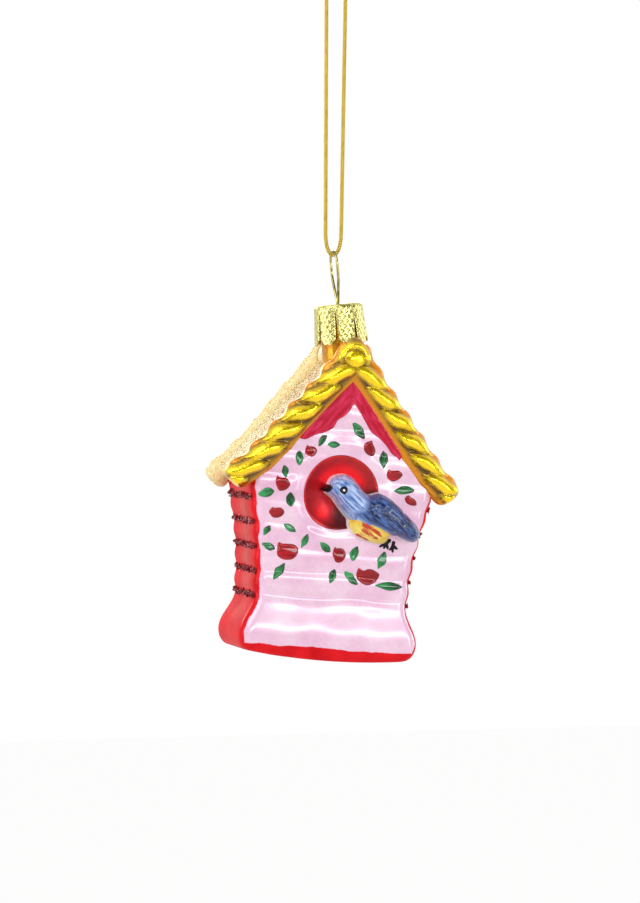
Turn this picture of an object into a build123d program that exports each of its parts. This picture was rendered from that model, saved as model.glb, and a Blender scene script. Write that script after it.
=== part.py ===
from build123d import *
import os
from math import atan, cos, pi, radians, sin, sqrt, tan

# A blown glass hanging ornament in the form of a birdhouse, as it hangs from its cord.
# Millimetres and degrees. The origin is the middle of the hook that the cord's loop lies on,
# +Z is up and the house front faces -Y.

# Cord: its loop over the hook, the fold that carries the wire, and its knot
CORD_DIAMETER = 1.0
HOOK_RADIUS = 2.0
CORD_DROP = 72.0
FOLD_SHIFT = -0.8
STRAND_SPACING = 4.0
FOLD_FLAT = 1.7
FOLD_RISE = 3.0
KNOT_RADIUS = 1.5
KNOT_ENTRY = 105.0
TAIL_LENGTH = 5.0
TAIL_SPREAD = 14.0

# Hanger wire: a loop above the cap, two sprung legs inside the neck
WIRE_DIAMETER = 0.7
LOOP_HEIGHT = 13.7
LOOP_WIDTH = 6.2
LOOP_SHOULDER = 7.0
SHOULDER_BEND = 6.0
LEG_SPACING = 0.9
LEG_DEPTH = 8.5
THROAT_ABOVE = 0.6
THROAT_BELOW = 1.2
THROAT_BEND = 1.0
CORD_CLEARANCE = 0.1
LEG_CLEARANCE = 0.35

# Cap: thin stamped sheet whose skirt is slit into pointed tabs
CAP_HEIGHT = 9.6
CAP_SHEET = 0.35
CAP_SPLAY = 0.6
CAP_SHOULDER = 0.5
CAP_TABS = 8
SLIT_WIDTH = 0.4
SLIT_LAND = 2.0
NOTCH_HALF_WIDTH = 1.7
NECK_CLEARANCE = 0.25

# Glass wall and neck
GLASS = 1.0
NECK_RADIUS = 5.0
NECK_HEIGHT = 10.6
NECK_FLARE = 0.8
FLARE_HEIGHT = 1.3

# House walls: heights above the foot's corners, half sizes from the middle
HOUSE_LEAN = 5.2
NECK_LEAN = 5.5
FOOT_HALF_WIDTH = 22.6
WAIST_HALF_WIDTH = 19.4
TOP_HALF_WIDTH = 23.2
FOOT_HALF_DEPTH = 13.6
WAIST_HALF_DEPTH = 12.4
TOP_HALF_DEPTH = 13.6
FOOT_HEIGHT = 4.5
WAIST_HEIGHT = 13.0
WALL_HEIGHT = 39.4
WALL_CORNER = 2.6
FOOT_ROUND = 1.4
FOOT_CROWN = 2.2
BOARD_LINES = 5
TOP_BOARD = 2.4
BOARD_SWELL = 0.5

# Roof and the twisted trim along both gables
ROOF_PITCH = 50.9
ROOF_OUT = 1.4
ROOF_IN = 2.8
EAVE_OVERHANG = 2.3
TRIM_RADIUS = 3.3
TRIM_CORE = 2.5
TRIM_SETBACK = 1.0
TRIM_LOBES = 6
LOBE_RADIUS = 2.45
LOBE_LENGTH = 4.4
LOBE_LAY = 25.0
LAST_LOBE = 1.4
KNOB_RADIUS = 3.5

# Entrance: a shallow dish in the front wall
ENTRANCE_RADIUS = 9.5
ENTRANCE_DEPTH = 3.0
ENTRANCE_HEIGHT = 39.7
ENTRANCE_SHIFT = -0.8

# Bird in relief, each swelling as right of the entrance, above it, proud of the wall,
# half length, half girth and tilt
BIRD_SWELLINGS = {
    "head": (0.2, 0.7, 0.0, 4.6, 4.2, 0.0),
    "beak": (-4.2, 0.9, 1.0, 2.2, 1.0, 0.0),
    "body": (7.3, -4.5, 0.2, 9.4, 4.5, -33.0),
    "wing": (11.2, -3.9, 1.6, 8.6, 3.2, -34.0),
    "tail": (16.0, -7.6, 0.2, 5.6, 2.2, -27.0),
}

# Glued glitter
GLITTER_RADIUS = 0.65
GLITTER_COAT = 0.3
GLITTER_SINK = 0.2
COAT_MARGIN = 0.8

# Shares: how much of a corner's room a bend takes, and the foot crown's steps from its bottom up
CORD_BEND_SHARE = 0.45
TIGHT_BEND_SHARE = 0.98
CROWN_STEPS = (0.9, 0.6, 0.3, 0.0)

# Values that follow from the sizes above
PITCH = radians(ROOF_PITCH)
CORD_RADIUS = CORD_DIAMETER / 2
WIRE_RADIUS = WIRE_DIAMETER / 2
BOARD_PITCH = (WALL_HEIGHT - TOP_BOARD - WAIST_HEIGHT) / (BOARD_LINES - 1)
TRIM_APEX = WALL_HEIGHT + TOP_HALF_WIDTH * tan(PITCH) + TRIM_RADIUS / cos(PITCH)
TRIM_LENGTH = (TOP_HALF_WIDTH + EAVE_OVERHANG) / cos(PITCH)
TRIM_PLANE = TOP_HALF_DEPTH - TRIM_SETBACK
RIDGE_HEIGHT = TRIM_APEX + ROOF_OUT / cos(PITCH)
CAP_TOP = NECK_HEIGHT + CAP_SHEET
CAP_RADIUS = NECK_RADIUS + NECK_CLEARANCE + CAP_SHEET
CAP_HOLE = LEG_SPACING / 2 + WIRE_RADIUS + LEG_CLEARANCE
NECK_BORE = NECK_RADIUS - GLASS
NECK_ROOT = (NECK_RADIUS + NECK_FLARE) * tan(PITCH) + 2 * GLASS
LOOP_TOP = CAP_TOP + LOOP_HEIGHT - WIRE_RADIUS
FOLD_ABOVE_RIDGE = LOOP_TOP - WIRE_RADIUS - CORD_CLEARANCE - CORD_RADIUS
DISH_RADIUS = (ENTRANCE_RADIUS**2 + ENTRANCE_DEPTH**2) / (2 * ENTRANCE_DEPTH)
DISH_MIDDLE = (ENTRANCE_SHIFT, ENTRANCE_DEPTH - DISH_RADIUS - TOP_HALF_DEPTH, ENTRANCE_HEIGHT)

# Where things hang: the cord hangs down, the neck leans one way and the house the other
FOLD = Vector(FOLD_SHIFT, 0, -CORD_DROP)
NECK_AXIS = Vector(-sin(radians(NECK_LEAN)), 0, cos(radians(NECK_LEAN)))
NECK_RIGHT = Vector(cos(radians(NECK_LEAN)), 0, sin(radians(NECK_LEAN)))
HOUSE_AXIS = Vector(sin(radians(HOUSE_LEAN)), 0, cos(radians(HOUSE_LEAN)))
HOUSE_RIGHT = Vector(cos(radians(HOUSE_LEAN)), 0, -sin(radians(HOUSE_LEAN)))
RIDGE = FOLD - NECK_AXIS * FOLD_ABOVE_RIDGE
HOUSE = Plane(origin=RIDGE - HOUSE_AXIS * RIDGE_HEIGHT, x_dir=HOUSE_RIGHT, z_dir=HOUSE_AXIS)
NECK = Plane(origin=RIDGE, x_dir=NECK_RIGHT, z_dir=NECK_AXIS)
NECK_FRONT = Plane(origin=RIDGE, x_dir=NECK_RIGHT, z_dir=(0, -1, 0))
NECK_SIDE = Plane(origin=RIDGE, x_dir=(0, 1, 0), z_dir=NECK_RIGHT)


def half_size(height, foot, waist, top):
    """Half of the walls' width or depth at a height: crown, rounded foot, flare, swelling boards."""
    if height < 0:
        return (foot - FOOT_ROUND) * sqrt(1 + height / FOOT_CROWN)
    if height < FOOT_HEIGHT:
        return foot - FOOT_ROUND * (1 - height / FOOT_HEIGHT) ** 2
    if height < WAIST_HEIGHT:
        share = (height - FOOT_HEIGHT) / (WAIST_HEIGHT - FOOT_HEIGHT)
        return foot + (waist - foot) * (1 - cos(pi * share)) / 2
    rise = (height - WAIST_HEIGHT) / (WALL_HEIGHT - WAIST_HEIGHT)
    swell = BOARD_SWELL * sin(pi * (height - WAIST_HEIGHT) / BOARD_PITCH) ** 2
    return waist + (top - waist) * rise**2 + (swell if height < WALL_HEIGHT else 0)


def half_width(height):
    """Half of the walls' width at a height."""
    return half_size(height, FOOT_HALF_WIDTH, WAIST_HALF_WIDTH, TOP_HALF_WIDTH)


def half_depth(height):
    """Half of the walls' depth at a height."""
    return half_size(height, FOOT_HALF_DEPTH, WAIST_HALF_DEPTH, TOP_HALF_DEPTH)


def wall_size(height, inset):
    """Width, depth and corner radius of the walls' level section, drawn in by inset."""
    width = 2 * (half_width(height) - inset)
    depth = 2 * (half_depth(height) - inset)
    return width, depth, WALL_CORNER - inset


def slope_point(side, along, out):
    """Point in the gable's plane: a way down one slope of the trim, and out from its middle line."""
    x = along * cos(PITCH) + out * sin(PITCH)
    return side * x, TRIM_APEX - along * sin(PITCH) + out * cos(PITCH)


def trim_places(along, lay):
    """Places on the slopes of both gables for an upright bar, turned to lie lay degrees off the slope."""
    places = []
    for side in (-1, 1):
        x, z = slope_point(side, along, 0)
        turn = side * (90 + ROOF_PITCH - lay)
        places += [Location((x, front * TRIM_PLANE, z), (0, turn, 0)) for front in (-1, 1)]
    return places


def capsule(length, radius):
    """A round bar with domed ends along Z, its length between the domes' middles."""
    with BuildPart() as bar:
        with BuildSketch(Plane.XZ):
            with BuildLine():
                Line((0, -length / 2 - radius), (0, length / 2 + radius))
                CenterArc((0, length / 2), radius, 0, 90)
                Line((radius, -length / 2), (radius, length / 2))
                CenterArc((0, -length / 2), radius, -90, 90)
            make_face()
        revolve(axis=Axis.Z)
    return bar.part


def gable_block(inset):
    """Block under the roof that carries both gable walls, upright and drawn in by inset."""
    side = TOP_HALF_WIDTH - inset
    side_top = TRIM_APEX - side * tan(PITCH)
    with BuildPart() as block:
        with BuildSketch(Plane.XZ):
            with BuildLine():
                Polyline(
                    (-side, WALL_HEIGHT),
                    (side, WALL_HEIGHT),
                    (side, side_top),
                    (0, TRIM_APEX),
                    (-side, side_top),
                    close=True,
                )
            make_face()
        extrude(amount=TOP_HALF_DEPTH - inset, both=True)
        fillet(block.edges().filter_by(Axis.Z), WALL_CORNER - inset)
    return block.part


def house_form(inset):
    """Crowned foot, walls, gable block and roof as one upright solid, drawn in by inset all round."""
    flare = WAIST_HEIGHT - FOOT_HEIGHT
    heights = [0, FOOT_HEIGHT / 2, FOOT_HEIGHT, FOOT_HEIGHT + flare / 3, FOOT_HEIGHT + flare * 2 / 3]
    heights += [WAIST_HEIGHT + BOARD_PITCH * i / 2 for i in range(2 * BOARD_LINES - 1)]
    heights += [WALL_HEIGHT]
    block = gable_block(inset)
    outer = ROOF_OUT - inset
    inner = inset - ROOF_IN
    end = TRIM_LENGTH - inset
    with BuildPart() as form:
        for height in heights:
            with BuildSketch(Plane.XY.offset(height)):
                RectangleRounded(*wall_size(height, inset))
        loft()
        for step in CROWN_STEPS:
            with BuildSketch(Plane.XY.offset(step * (inset - FOOT_CROWN))):
                RectangleRounded(*wall_size(-step * FOOT_CROWN, inset))
        loft(ruled=True)
        add(block)
        with BuildSketch(Plane.XZ):
            with BuildLine():
                Polyline(
                    (0, TRIM_APEX + outer / cos(PITCH)),
                    slope_point(1, end, outer),
                    slope_point(1, end, inner),
                    (0, TRIM_APEX + inner / cos(PITCH)),
                    slope_point(-1, end, inner),
                    slope_point(-1, end, outer),
                    close=True,
                )
            make_face()
        extrude(amount=TRIM_PLANE - inset, both=True)
    return form.part


def bird_swelling(right, above, proud, half_length, half_girth, tilt):
    """One egg-shaped swelling of the bird, its long axis tilted in the front's plane."""
    middle = Vector(ENTRANCE_SHIFT + right, -TOP_HALF_DEPTH - proud, ENTRANCE_HEIGHT + above)
    along = Vector(cos(radians(tilt)), 0, sin(radians(tilt)))
    with BuildPart() as swelling:
        with BuildSketch(Plane(origin=middle, x_dir=along, z_dir=(0, -1, 0))):
            with BuildLine():
                EllipticalCenterArc((0, 0), half_length, half_girth, arc_size=180)
                Line((-half_length, 0), (half_length, 0))
            make_face()
        revolve(axis=Axis(middle, along))
    return swelling.part


def glitter_lines(side, house):
    """Lines of glitter in the board lines of one side wall, backed by the upright house's own face."""
    with BuildPart() as lines:
        for i in range(BOARD_LINES):
            height = WAIST_HEIGHT + BOARD_PITCH * i
            step = min(TOP_BOARD, BOARD_PITCH / 4)
            slant = atan((half_width(height + step) - half_width(height - step)) / (2 * step))
            seat = (side * (half_width(height) - GLITTER_SINK), 0, height)
            outward = (side * cos(slant), 0, -sin(slant))
            with BuildSketch(Plane(origin=seat, x_dir=outward, z_dir=(0, -1, 0))):
                with BuildLine():
                    CenterArc((0, 0), GLITTER_RADIUS, -90, 180)
                    Line((0, -GLITTER_RADIUS), (0, GLITTER_RADIUS))
                make_face()
            extrude(amount=half_depth(height) - WALL_CORNER, both=True)
        add(house, mode=Mode.SUBTRACT)
    return lines.part


def roof_coat(side):
    """Thin coat of glitter on one roof slope between the trims, house upright."""
    top = COAT_MARGIN - ROOF_OUT * tan(PITCH)
    end = TRIM_LENGTH - COAT_MARGIN
    with BuildPart() as coat:
        with BuildSketch(Plane.XZ):
            with BuildLine():
                Polyline(
                    slope_point(side, top, ROOF_OUT),
                    slope_point(side, end, ROOF_OUT),
                    slope_point(side, end, ROOF_OUT + GLITTER_COAT),
                    slope_point(side, top, ROOF_OUT + GLITTER_COAT),
                    close=True,
                )
            make_face()
        extrude(amount=TRIM_PLANE - LOBE_RADIUS - COAT_MARGIN, both=True)
    return coat.part


def hook_point(angle, reach):
    """Point at an angle round the hook."""
    return reach * cos(radians(angle)), reach * sin(radians(angle))


# Glass shell: the house with its trim, recess, bird and neck, hollow down to the foot
outside = house_form(0)
inside = house_form(GLASS)
trim_bar = capsule(TRIM_LENGTH, TRIM_CORE)
trim_hollow = capsule(TRIM_LENGTH, TRIM_CORE - GLASS)
trim_lobe = capsule(LOBE_LENGTH, LOBE_RADIUS)
lobe_pitch = (TRIM_LENGTH - LAST_LOBE) / TRIM_LOBES
swellings = [bird_swelling(*swelling) for swelling in BIRD_SWELLINGS.values()]

with BuildPart() as house_hollow:
    add(inside)
    with Locations(DISH_MIDDLE):
        Sphere(DISH_RADIUS + GLASS, mode=Mode.SUBTRACT)
    with Locations(*trim_places(TRIM_LENGTH / 2, 0)):
        add(trim_hollow)

with BuildPart() as house_solid:
    add(outside)
    with Locations(DISH_MIDDLE):
        Sphere(DISH_RADIUS, mode=Mode.SUBTRACT)
    with Locations(*trim_places(TRIM_LENGTH / 2, 0)):
        add(trim_bar)
    for lobe in range(TRIM_LOBES):
        with Locations(*trim_places(lobe_pitch * (lobe + 1), LOBE_LAY)):
            add(trim_lobe)
    with Locations((0, -TRIM_PLANE, TRIM_APEX), (0, TRIM_PLANE, TRIM_APEX)):
        Sphere(KNOB_RADIUS)
    add(swellings)

with BuildPart(HOUSE) as glass_shell:
    add(house_solid.part)
    with BuildSketch(NECK_FRONT):
        with BuildLine():
            Polyline(
                (0, -NECK_ROOT),
                (NECK_RADIUS + NECK_FLARE, -NECK_ROOT),
                (NECK_RADIUS + NECK_FLARE, 0),
                (NECK_RADIUS, FLARE_HEIGHT),
                (NECK_RADIUS, NECK_HEIGHT),
                (0, NECK_HEIGHT),
                close=True,
            )
        make_face()
    revolve(axis=Axis(RIDGE, NECK_AXIS))
    add(house_hollow.part, mode=Mode.SUBTRACT)
    with BuildSketch(NECK.offset(NECK_HEIGHT)):
        Circle(NECK_BORE)
    extrude(amount=-NECK_HEIGHT - NECK_ROOT, mode=Mode.SUBTRACT)
glass_shell.part.label = "glass_shell"

# Cap: a crown of pointed tabs over the neck
with BuildPart(NECK) as cap:
    with BuildSketch(NECK_FRONT):
        with BuildLine():
            Polyline(
                (CAP_HOLE, CAP_TOP),
                (CAP_RADIUS - CAP_SHOULDER, CAP_TOP),
                (CAP_RADIUS, CAP_TOP - CAP_SHOULDER),
                (CAP_RADIUS + CAP_SPLAY, CAP_TOP - CAP_HEIGHT),
                (CAP_RADIUS + CAP_SPLAY - CAP_SHEET, CAP_TOP - CAP_HEIGHT),
                (CAP_RADIUS - CAP_SHEET, CAP_TOP - CAP_SHOULDER),
                (CAP_RADIUS - CAP_SHEET, CAP_TOP - CAP_SHEET),
                (CAP_HOLE, CAP_TOP - CAP_SHEET),
                close=True,
            )
        make_face()
    revolve(axis=Axis(RIDGE, NECK_AXIS))
    slit_start = 180 / CAP_TABS
    slit_reach = 2 * (CAP_SPLAY + CAP_SHEET)
    notch = NOTCH_HALF_WIDTH * sqrt(2)
    with Locations((0, 0, CAP_TOP - CAP_HEIGHT)):
        with PolarLocations(CAP_RADIUS + CAP_SPLAY / 2, CAP_TABS, start_angle=slit_start):
            Box(
                slit_reach,
                SLIT_WIDTH,
                CAP_HEIGHT - SLIT_LAND,
                align=(Align.CENTER, Align.CENTER, Align.MIN),
                mode=Mode.SUBTRACT,
            )
            Box(slit_reach, notch, notch, rotation=(45, 0, 0), mode=Mode.SUBTRACT)
cap.part.label = "cap"

# Hanger wire: up one leg, round the loop and down the other leg
leg_reach = NECK_BORE - WIRE_RADIUS - LEG_CLEARANCE
half_route = [
    (leg_reach, NECK_HEIGHT - LEG_DEPTH),
    (LEG_SPACING / 2, NECK_HEIGHT - THROAT_BELOW),
    (LEG_SPACING / 2, CAP_TOP + THROAT_ABOVE),
    (LOOP_WIDTH / 2, CAP_TOP + LOOP_SHOULDER),
    (LOOP_WIDTH / 2, LOOP_TOP),
]
half_bends = [THROAT_BEND, THROAT_BEND, SHOULDER_BEND, TIGHT_BEND_SHARE * LOOP_WIDTH / 2]
with BuildPart() as hanger_wire:
    with BuildLine(NECK_SIDE) as wire_route:
        FilletPolyline(
            *half_route,
            *[(-x, y) for x, y in reversed(half_route)],
            radius=half_bends + half_bends[::-1],
        )
    with BuildSketch(Plane(origin=wire_route.line @ 0, z_dir=wire_route.line % 0)):
        Circle(WIRE_RADIUS)
    sweep(path=wire_route.line)
hanger_wire.part.label = "hanger_wire"

# Cord: from the knot over the hook, down, through the wire's loop, up and back to the knot
hook_bend = HOOK_RADIUS + CORD_RADIUS
hook_step = (180 - KNOT_ENTRY) / 4
hook_corner = hook_bend / cos(radians(hook_step))
hook_route = [
    hook_point(KNOT_ENTRY, hook_bend),
    hook_point(KNOT_ENTRY + hook_step, hook_corner),
    hook_point(KNOT_ENTRY + 3 * hook_step, hook_corner),
]
fold_route = [
    (FOLD_SHIFT - STRAND_SPACING / 2, FOLD_RISE - CORD_DROP),
    (FOLD_SHIFT - FOLD_FLAT / 2, -CORD_DROP),
    (FOLD_SHIFT + FOLD_FLAT / 2, -CORD_DROP),
    (FOLD_SHIFT + STRAND_SPACING / 2, FOLD_RISE - CORD_DROP),
]
cord_route = hook_route + fold_route + [(-x, z) for x, z in reversed(hook_route)]
cord_bends = []
for before, corner, after in zip(cord_route, cord_route[1:], cord_route[2:]):
    run_in = Vector(corner) - Vector(before)
    run_out = Vector(after) - Vector(corner)
    half_turn = radians(run_in.get_angle(run_out)) / 2
    cord_bends.append(CORD_BEND_SHARE * min(run_in.length, run_out.length) / tan(half_turn))
for corner in (0, 1, -2, -1):
    cord_bends[corner] = TIGHT_BEND_SHARE * hook_bend
print("cord bend radii", [round(bend, 2) for bend in cord_bends])

with BuildPart() as cord:
    with BuildLine(Plane.XZ) as cord_line:
        FilletPolyline(*cord_route, radius=cord_bends)
    with BuildSketch(Plane(origin=cord_line.line @ 0, z_dir=cord_line.line % 0)):
        Circle(CORD_RADIUS)
    sweep(path=cord_line.line)
cord.part.label = "cord"
cord_length = sum(edge.length for edge in cord_line.line.edges())
print("cord length", round(cord_length, 2))
print("cord volume", round(cord.part.volume, 3))
print("cord section by length", round(pi * CORD_RADIUS**2 * cord_length, 3))

# Knot that closes the loop above the hook, with two short tails
with BuildPart(Plane.XY.offset(HOOK_RADIUS + KNOT_RADIUS)) as cord_knot:
    Sphere(KNOT_RADIUS)
    for lean in (-TAIL_SPREAD, TAIL_SPREAD):
        Cylinder(
            CORD_RADIUS,
            KNOT_RADIUS + TAIL_LENGTH,
            rotation=(0, lean, 0),
            align=(Align.CENTER, Align.CENTER, Align.MIN),
        )
cord_knot.part.label = "cord_knot"

# Glitter: lines along the side walls' boards, coats on the roof slopes round the neck
left_lines = glitter_lines(-1, outside)
right_lines = glitter_lines(1, outside)
left_coat = roof_coat(-1)
right_coat = roof_coat(1)

with BuildPart(HOUSE) as glitter_lines_left:
    add(left_lines)
glitter_lines_left.part.label = "glitter_lines_left"

with BuildPart(HOUSE) as glitter_lines_right:
    add(right_lines)
glitter_lines_right.part.label = "glitter_lines_right"

with BuildPart(HOUSE) as roof_glitter_left:
    add(left_coat)
    with BuildSketch(NECK.offset(-NECK_ROOT)):
        Circle(NECK_RADIUS + NECK_FLARE + GLITTER_COAT)
    extrude(amount=2 * NECK_ROOT, mode=Mode.SUBTRACT)
roof_glitter_left.part.label = "roof_glitter_left"

with BuildPart(HOUSE) as roof_glitter_right:
    add(right_coat)
    with BuildSketch(NECK.offset(-NECK_ROOT)):
        Circle(NECK_RADIUS + NECK_FLARE + GLITTER_COAT)
    extrude(amount=2 * NECK_ROOT, mode=Mode.SUBTRACT)
roof_glitter_right.part.label = "roof_glitter_right"

os.makedirs("parts", exist_ok=True)
export_step(glass_shell.part, "parts/glass_shell.step")
export_step(cap.part, "parts/cap.step")
export_step(hanger_wire.part, "parts/hanger_wire.step")
export_step(cord.part, "parts/cord.step")
export_step(cord_knot.part, "parts/cord_knot.step")
export_step(glitter_lines_left.part, "parts/glitter_lines_left.step")
export_step(glitter_lines_right.part, "parts/glitter_lines_right.step")
export_step(roof_glitter_left.part, "parts/roof_glitter_left.step")
export_step(roof_glitter_right.part, "parts/roof_glitter_right.step")
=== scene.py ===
from collections import namedtuple
from math import cos, pi, radians, sin, tan

import bmesh
import bpy
import numpy as np
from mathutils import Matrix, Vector
from mathutils.geometry import delaunay_2d_cdt


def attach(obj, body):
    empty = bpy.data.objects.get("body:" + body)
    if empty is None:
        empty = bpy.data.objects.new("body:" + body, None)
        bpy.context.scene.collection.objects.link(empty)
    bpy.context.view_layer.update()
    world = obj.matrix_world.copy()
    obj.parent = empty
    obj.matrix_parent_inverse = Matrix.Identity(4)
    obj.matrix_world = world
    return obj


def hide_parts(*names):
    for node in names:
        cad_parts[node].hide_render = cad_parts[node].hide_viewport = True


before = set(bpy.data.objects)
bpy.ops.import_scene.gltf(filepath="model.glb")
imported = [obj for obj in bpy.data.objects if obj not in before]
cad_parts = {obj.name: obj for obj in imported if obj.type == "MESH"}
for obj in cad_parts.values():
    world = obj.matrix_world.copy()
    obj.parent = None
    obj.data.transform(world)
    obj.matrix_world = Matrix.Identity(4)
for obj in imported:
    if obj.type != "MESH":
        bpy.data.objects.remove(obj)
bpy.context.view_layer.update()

dice = np.random.default_rng(7)

# Sizes in millimetres. Widths and depths of the walls are halves, at the foot, waist and top
MM = 0.001
FOLD = np.array((-0.8, 0.0, -72.0))
FOLD_ABOVE_RIDGE = 23.35
HOUSE_LEAN = radians(5.2)
NECK_LEAN = radians(-5.5)
WIDTHS = (22.6, 19.4, 23.2)
DEPTHS = (13.6, 12.4, 13.6)
FOOT_HEIGHT = 3.3
FOOT_CROWN = 2.2
FOOT_ROUND_IN = 2.2
FOOT_ROUND_DOWN = 3.7
FOOT_BOW = 1.55
WAIST_HEIGHT = 13.0
WALL_HEIGHT = 39.4
WALL_CORNER = 2.6
WALL_TOP = 70.6
SIDE_TOP = 41.5
PINK_FROM_LEFT, PINK_FROM_RIGHT, PINK_FROM_FOOT = 0.9, 0.75, 1.3
BOARD_PITCH = 6.0
BOARD_LINES = WAIST_HEIGHT + BOARD_PITCH * np.arange(5)
GABLE_LINES = WAIST_HEIGHT + BOARD_PITCH * np.arange(9)
BOARD_SWELL = 0.5
GROOVE_DEPTH = 0.36
GROOVE_WIDTH = 1.25
PITCH = radians(50.9)
EAVE_OVERHANG = 2.3
ROOF_OUT = 1.4
ROOF_IN = 2.8
ROOF_HALF_DEPTH = 11.6
TRIM_RADIUS = 3.3
TRIM_APEX = WALL_HEIGHT + WIDTHS[2] * tan(PITCH) + TRIM_RADIUS / cos(PITCH)
TRIM_LENGTH = (WIDTHS[2] + EAVE_OVERHANG) / cos(PITCH)
TRIM_PLANE = DEPTHS[2] - 1.0
RIDGE_HEIGHT = TRIM_APEX + ROOF_OUT / cos(PITCH)
ENTRANCE = (-0.8, 39.7)
ENTRANCE_RADIUS = 9.5
DISH_RADIUS = (ENTRANCE_RADIUS**2 + 3.0**2) / 6.0
NECK_RADIUS = 5.0
NECK_HEIGHT = 10.6
NECK_FOOT = -8.5
NECK_LIP = 0.5
NECK_FILLET = 1.7


def leaning(lean):
    """Right, back and up of a piece that leans, as rows."""
    return np.array(((cos(lean), 0, -sin(lean)), (0, 1, 0), (sin(lean), 0, cos(lean))))


NECK_AXES = leaning(NECK_LEAN)
HOUSE_AXES = leaning(HOUSE_LEAN)
RIDGE = FOLD - NECK_AXES[2] * FOLD_ABOVE_RIDGE
NECK = (RIDGE, NECK_AXES)
HOUSE = (RIDGE - HOUSE_AXES[2] * RIDGE_HEIGHT, HOUSE_AXES)
ROW = (np.zeros(3), np.eye(3))


# Camera: 1.1 m away, a little to the left of the front and a little above the middle
VIEW_AZIMUTH, VIEW_HEIGHT = -14.5, 2
VIEW_MIDDLE = Vector((-0.0042, 0, -0.1209))
VIEW_DISTANCE = 1.1
PICTURE_HEIGHT = 0.2249


def stand(name, data, middle, azimuth, height, distance):
    """A camera or lamp that looks at a middle from a direction in degrees, 0 being the front."""
    turn, rise = radians(azimuth), radians(height)
    away = Vector((sin(turn) * cos(rise), -cos(turn) * cos(rise), sin(rise)))
    made = bpy.data.objects.new(name, data)
    bpy.context.scene.collection.objects.link(made)
    made.location = middle + away * distance
    made.rotation_mode = "QUATERNION"
    made.rotation_quaternion = (-away).to_track_quat("-Z", "Y")
    return made


lens = bpy.data.cameras.new("camera")
lens.sensor_width = 36
lens.lens = lens.sensor_width * VIEW_DISTANCE / PICTURE_HEIGHT
camera = stand("camera", lens, VIEW_MIDDLE, VIEW_AZIMUTH, VIEW_HEIGHT, VIEW_DISTANCE)
bpy.context.scene.camera = camera


# Materials: each function gives its surface's values, by the names of the shader's inputs
PATTERN = (0.3, 0.7)  # an uneven pattern keeps mostly between these


def linear(colour):
    """A written sRGB hex colour as linear red, green, blue and alpha."""
    parts = [int(colour[i : i + 2], 16) / 255 for i in (1, 3, 5)]
    return [p / 12.92 if p < 0.04045 else ((p + 0.055) / 1.055) ** 2.4 for p in parts] + [1.0]


def node(tree, kind, *values, give=None, **settings):
    """Adds a node, or takes a made one, with its settings. The values are set on its inputs or
    linked to them, in order, or by name from a dict. Gives its first output or the named one."""
    made = tree.nodes.new("ShaderNode" + kind) if isinstance(kind, str) else kind
    for name, value in settings.items():
        setattr(made, name, value)
    if values and isinstance(values[0], dict):
        pairs = [(made.inputs[name], value) for name, value in values[0].items()]
    else:
        pairs = zip([s for s in made.inputs if s.enabled], values)
    for socket, value in pairs:
        if isinstance(value, bpy.types.NodeSocket):
            tree.links.new(value, socket)
        else:
            socket.default_value = linear(value) if isinstance(value, str) else value
    if give:
        return made.outputs[give]
    return next((s for s in made.outputs if s.enabled), None)


def finish(name, surface, *choices):
    """A material with the values that its surface's function gives."""
    made = bpy.data.materials.new(name)
    made.use_nodes = True
    tree = made.node_tree
    node(tree, tree.nodes["Principled BSDF"], surface(tree, *choices))
    return made


def grain(tree, size, detail=2.0, stretch=(1, 1, 1)):
    """Soft uneven pattern whose patches are about size millimetres across."""
    at = node(tree, "Attribute", attribute_name="at", give="Vector")
    at = node(tree, "VectorMath", at, stretch, operation="MULTIPLY")
    return node(tree, "TexNoise", at, 1 / size, detail)


def cloud(tree, size, low=0.0, high=1.0, detail=2.0, stretch=(1, 1, 1)):
    """The same pattern, spread to run from low to high."""
    return node(tree, "MapRange", grain(tree, size, detail, stretch), *PATTERN, low, high)


def frayed(tree, name, pattern, by=None):
    """A mark of the mesh with a pattern added, which may first be spread by so much each way."""
    if by:
        pattern = node(tree, "MapRange", pattern, *PATTERN, -by, by)
    return node(tree, "Math", node(tree, "Attribute", attribute_name=name, give="Fac"), pattern)


def shade(tree, value, first, second, low=0.0, high=1.0):
    """First colour where a value is up to low, second from high on, and their mix between."""
    share = node(tree, "MapRange", value, low, high)
    return node(tree, "Mix", share, first, second, data_type="RGBA")


def wall_lacquer(tree):
    """Blown glass, silvered inside, with pearl pink lacquer on its fronts and clear red on its
    sides. The lacquer's thickness varies softly, and its poured face is smooth and wet-looking."""
    edge = frayed(tree, "pink", cloud(tree, 5.0, -0.3, 0.3, 3.0))
    pink_share = node(tree, "MapRange", edge, -0.1, 0.1)
    pink = shade(tree, cloud(tree, 9.0), "#E2B2CF", "#EFD0E2")
    red = shade(tree, cloud(tree, 6.0), "#C80C16", "#E81C26")
    # Painted reflection: a patchy, paler greyish salmon band mixed into the red down the middle of
    # each side wall
    bare = node(tree, "Attribute", attribute_name="bare", give="Fac")
    thin = cloud(tree, 1.4, 0.2, 0.6, 3.0, (1, 1, 0.2))
    bare = node(tree, "Math", bare, thin, operation="MULTIPLY")
    return {
        "Base Color": shade(tree, pink_share, shade(tree, bare, red, "#CC7268"), pink),
        "Metallic": 0.08,
        "Roughness": cloud(tree, 1.2, 0.22, 0.3),
        "Specular IOR Level": 0.0,
        "Normal": node(tree, "Bump", {"Height": grain(tree, 2.5), "Distance": 0.05 * MM}),
        "Coat Weight": node(tree, "MapRange", pink_share, 0, 1, 0.16, 1.0),
        "Coat Roughness": 0.13,
    }


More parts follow.
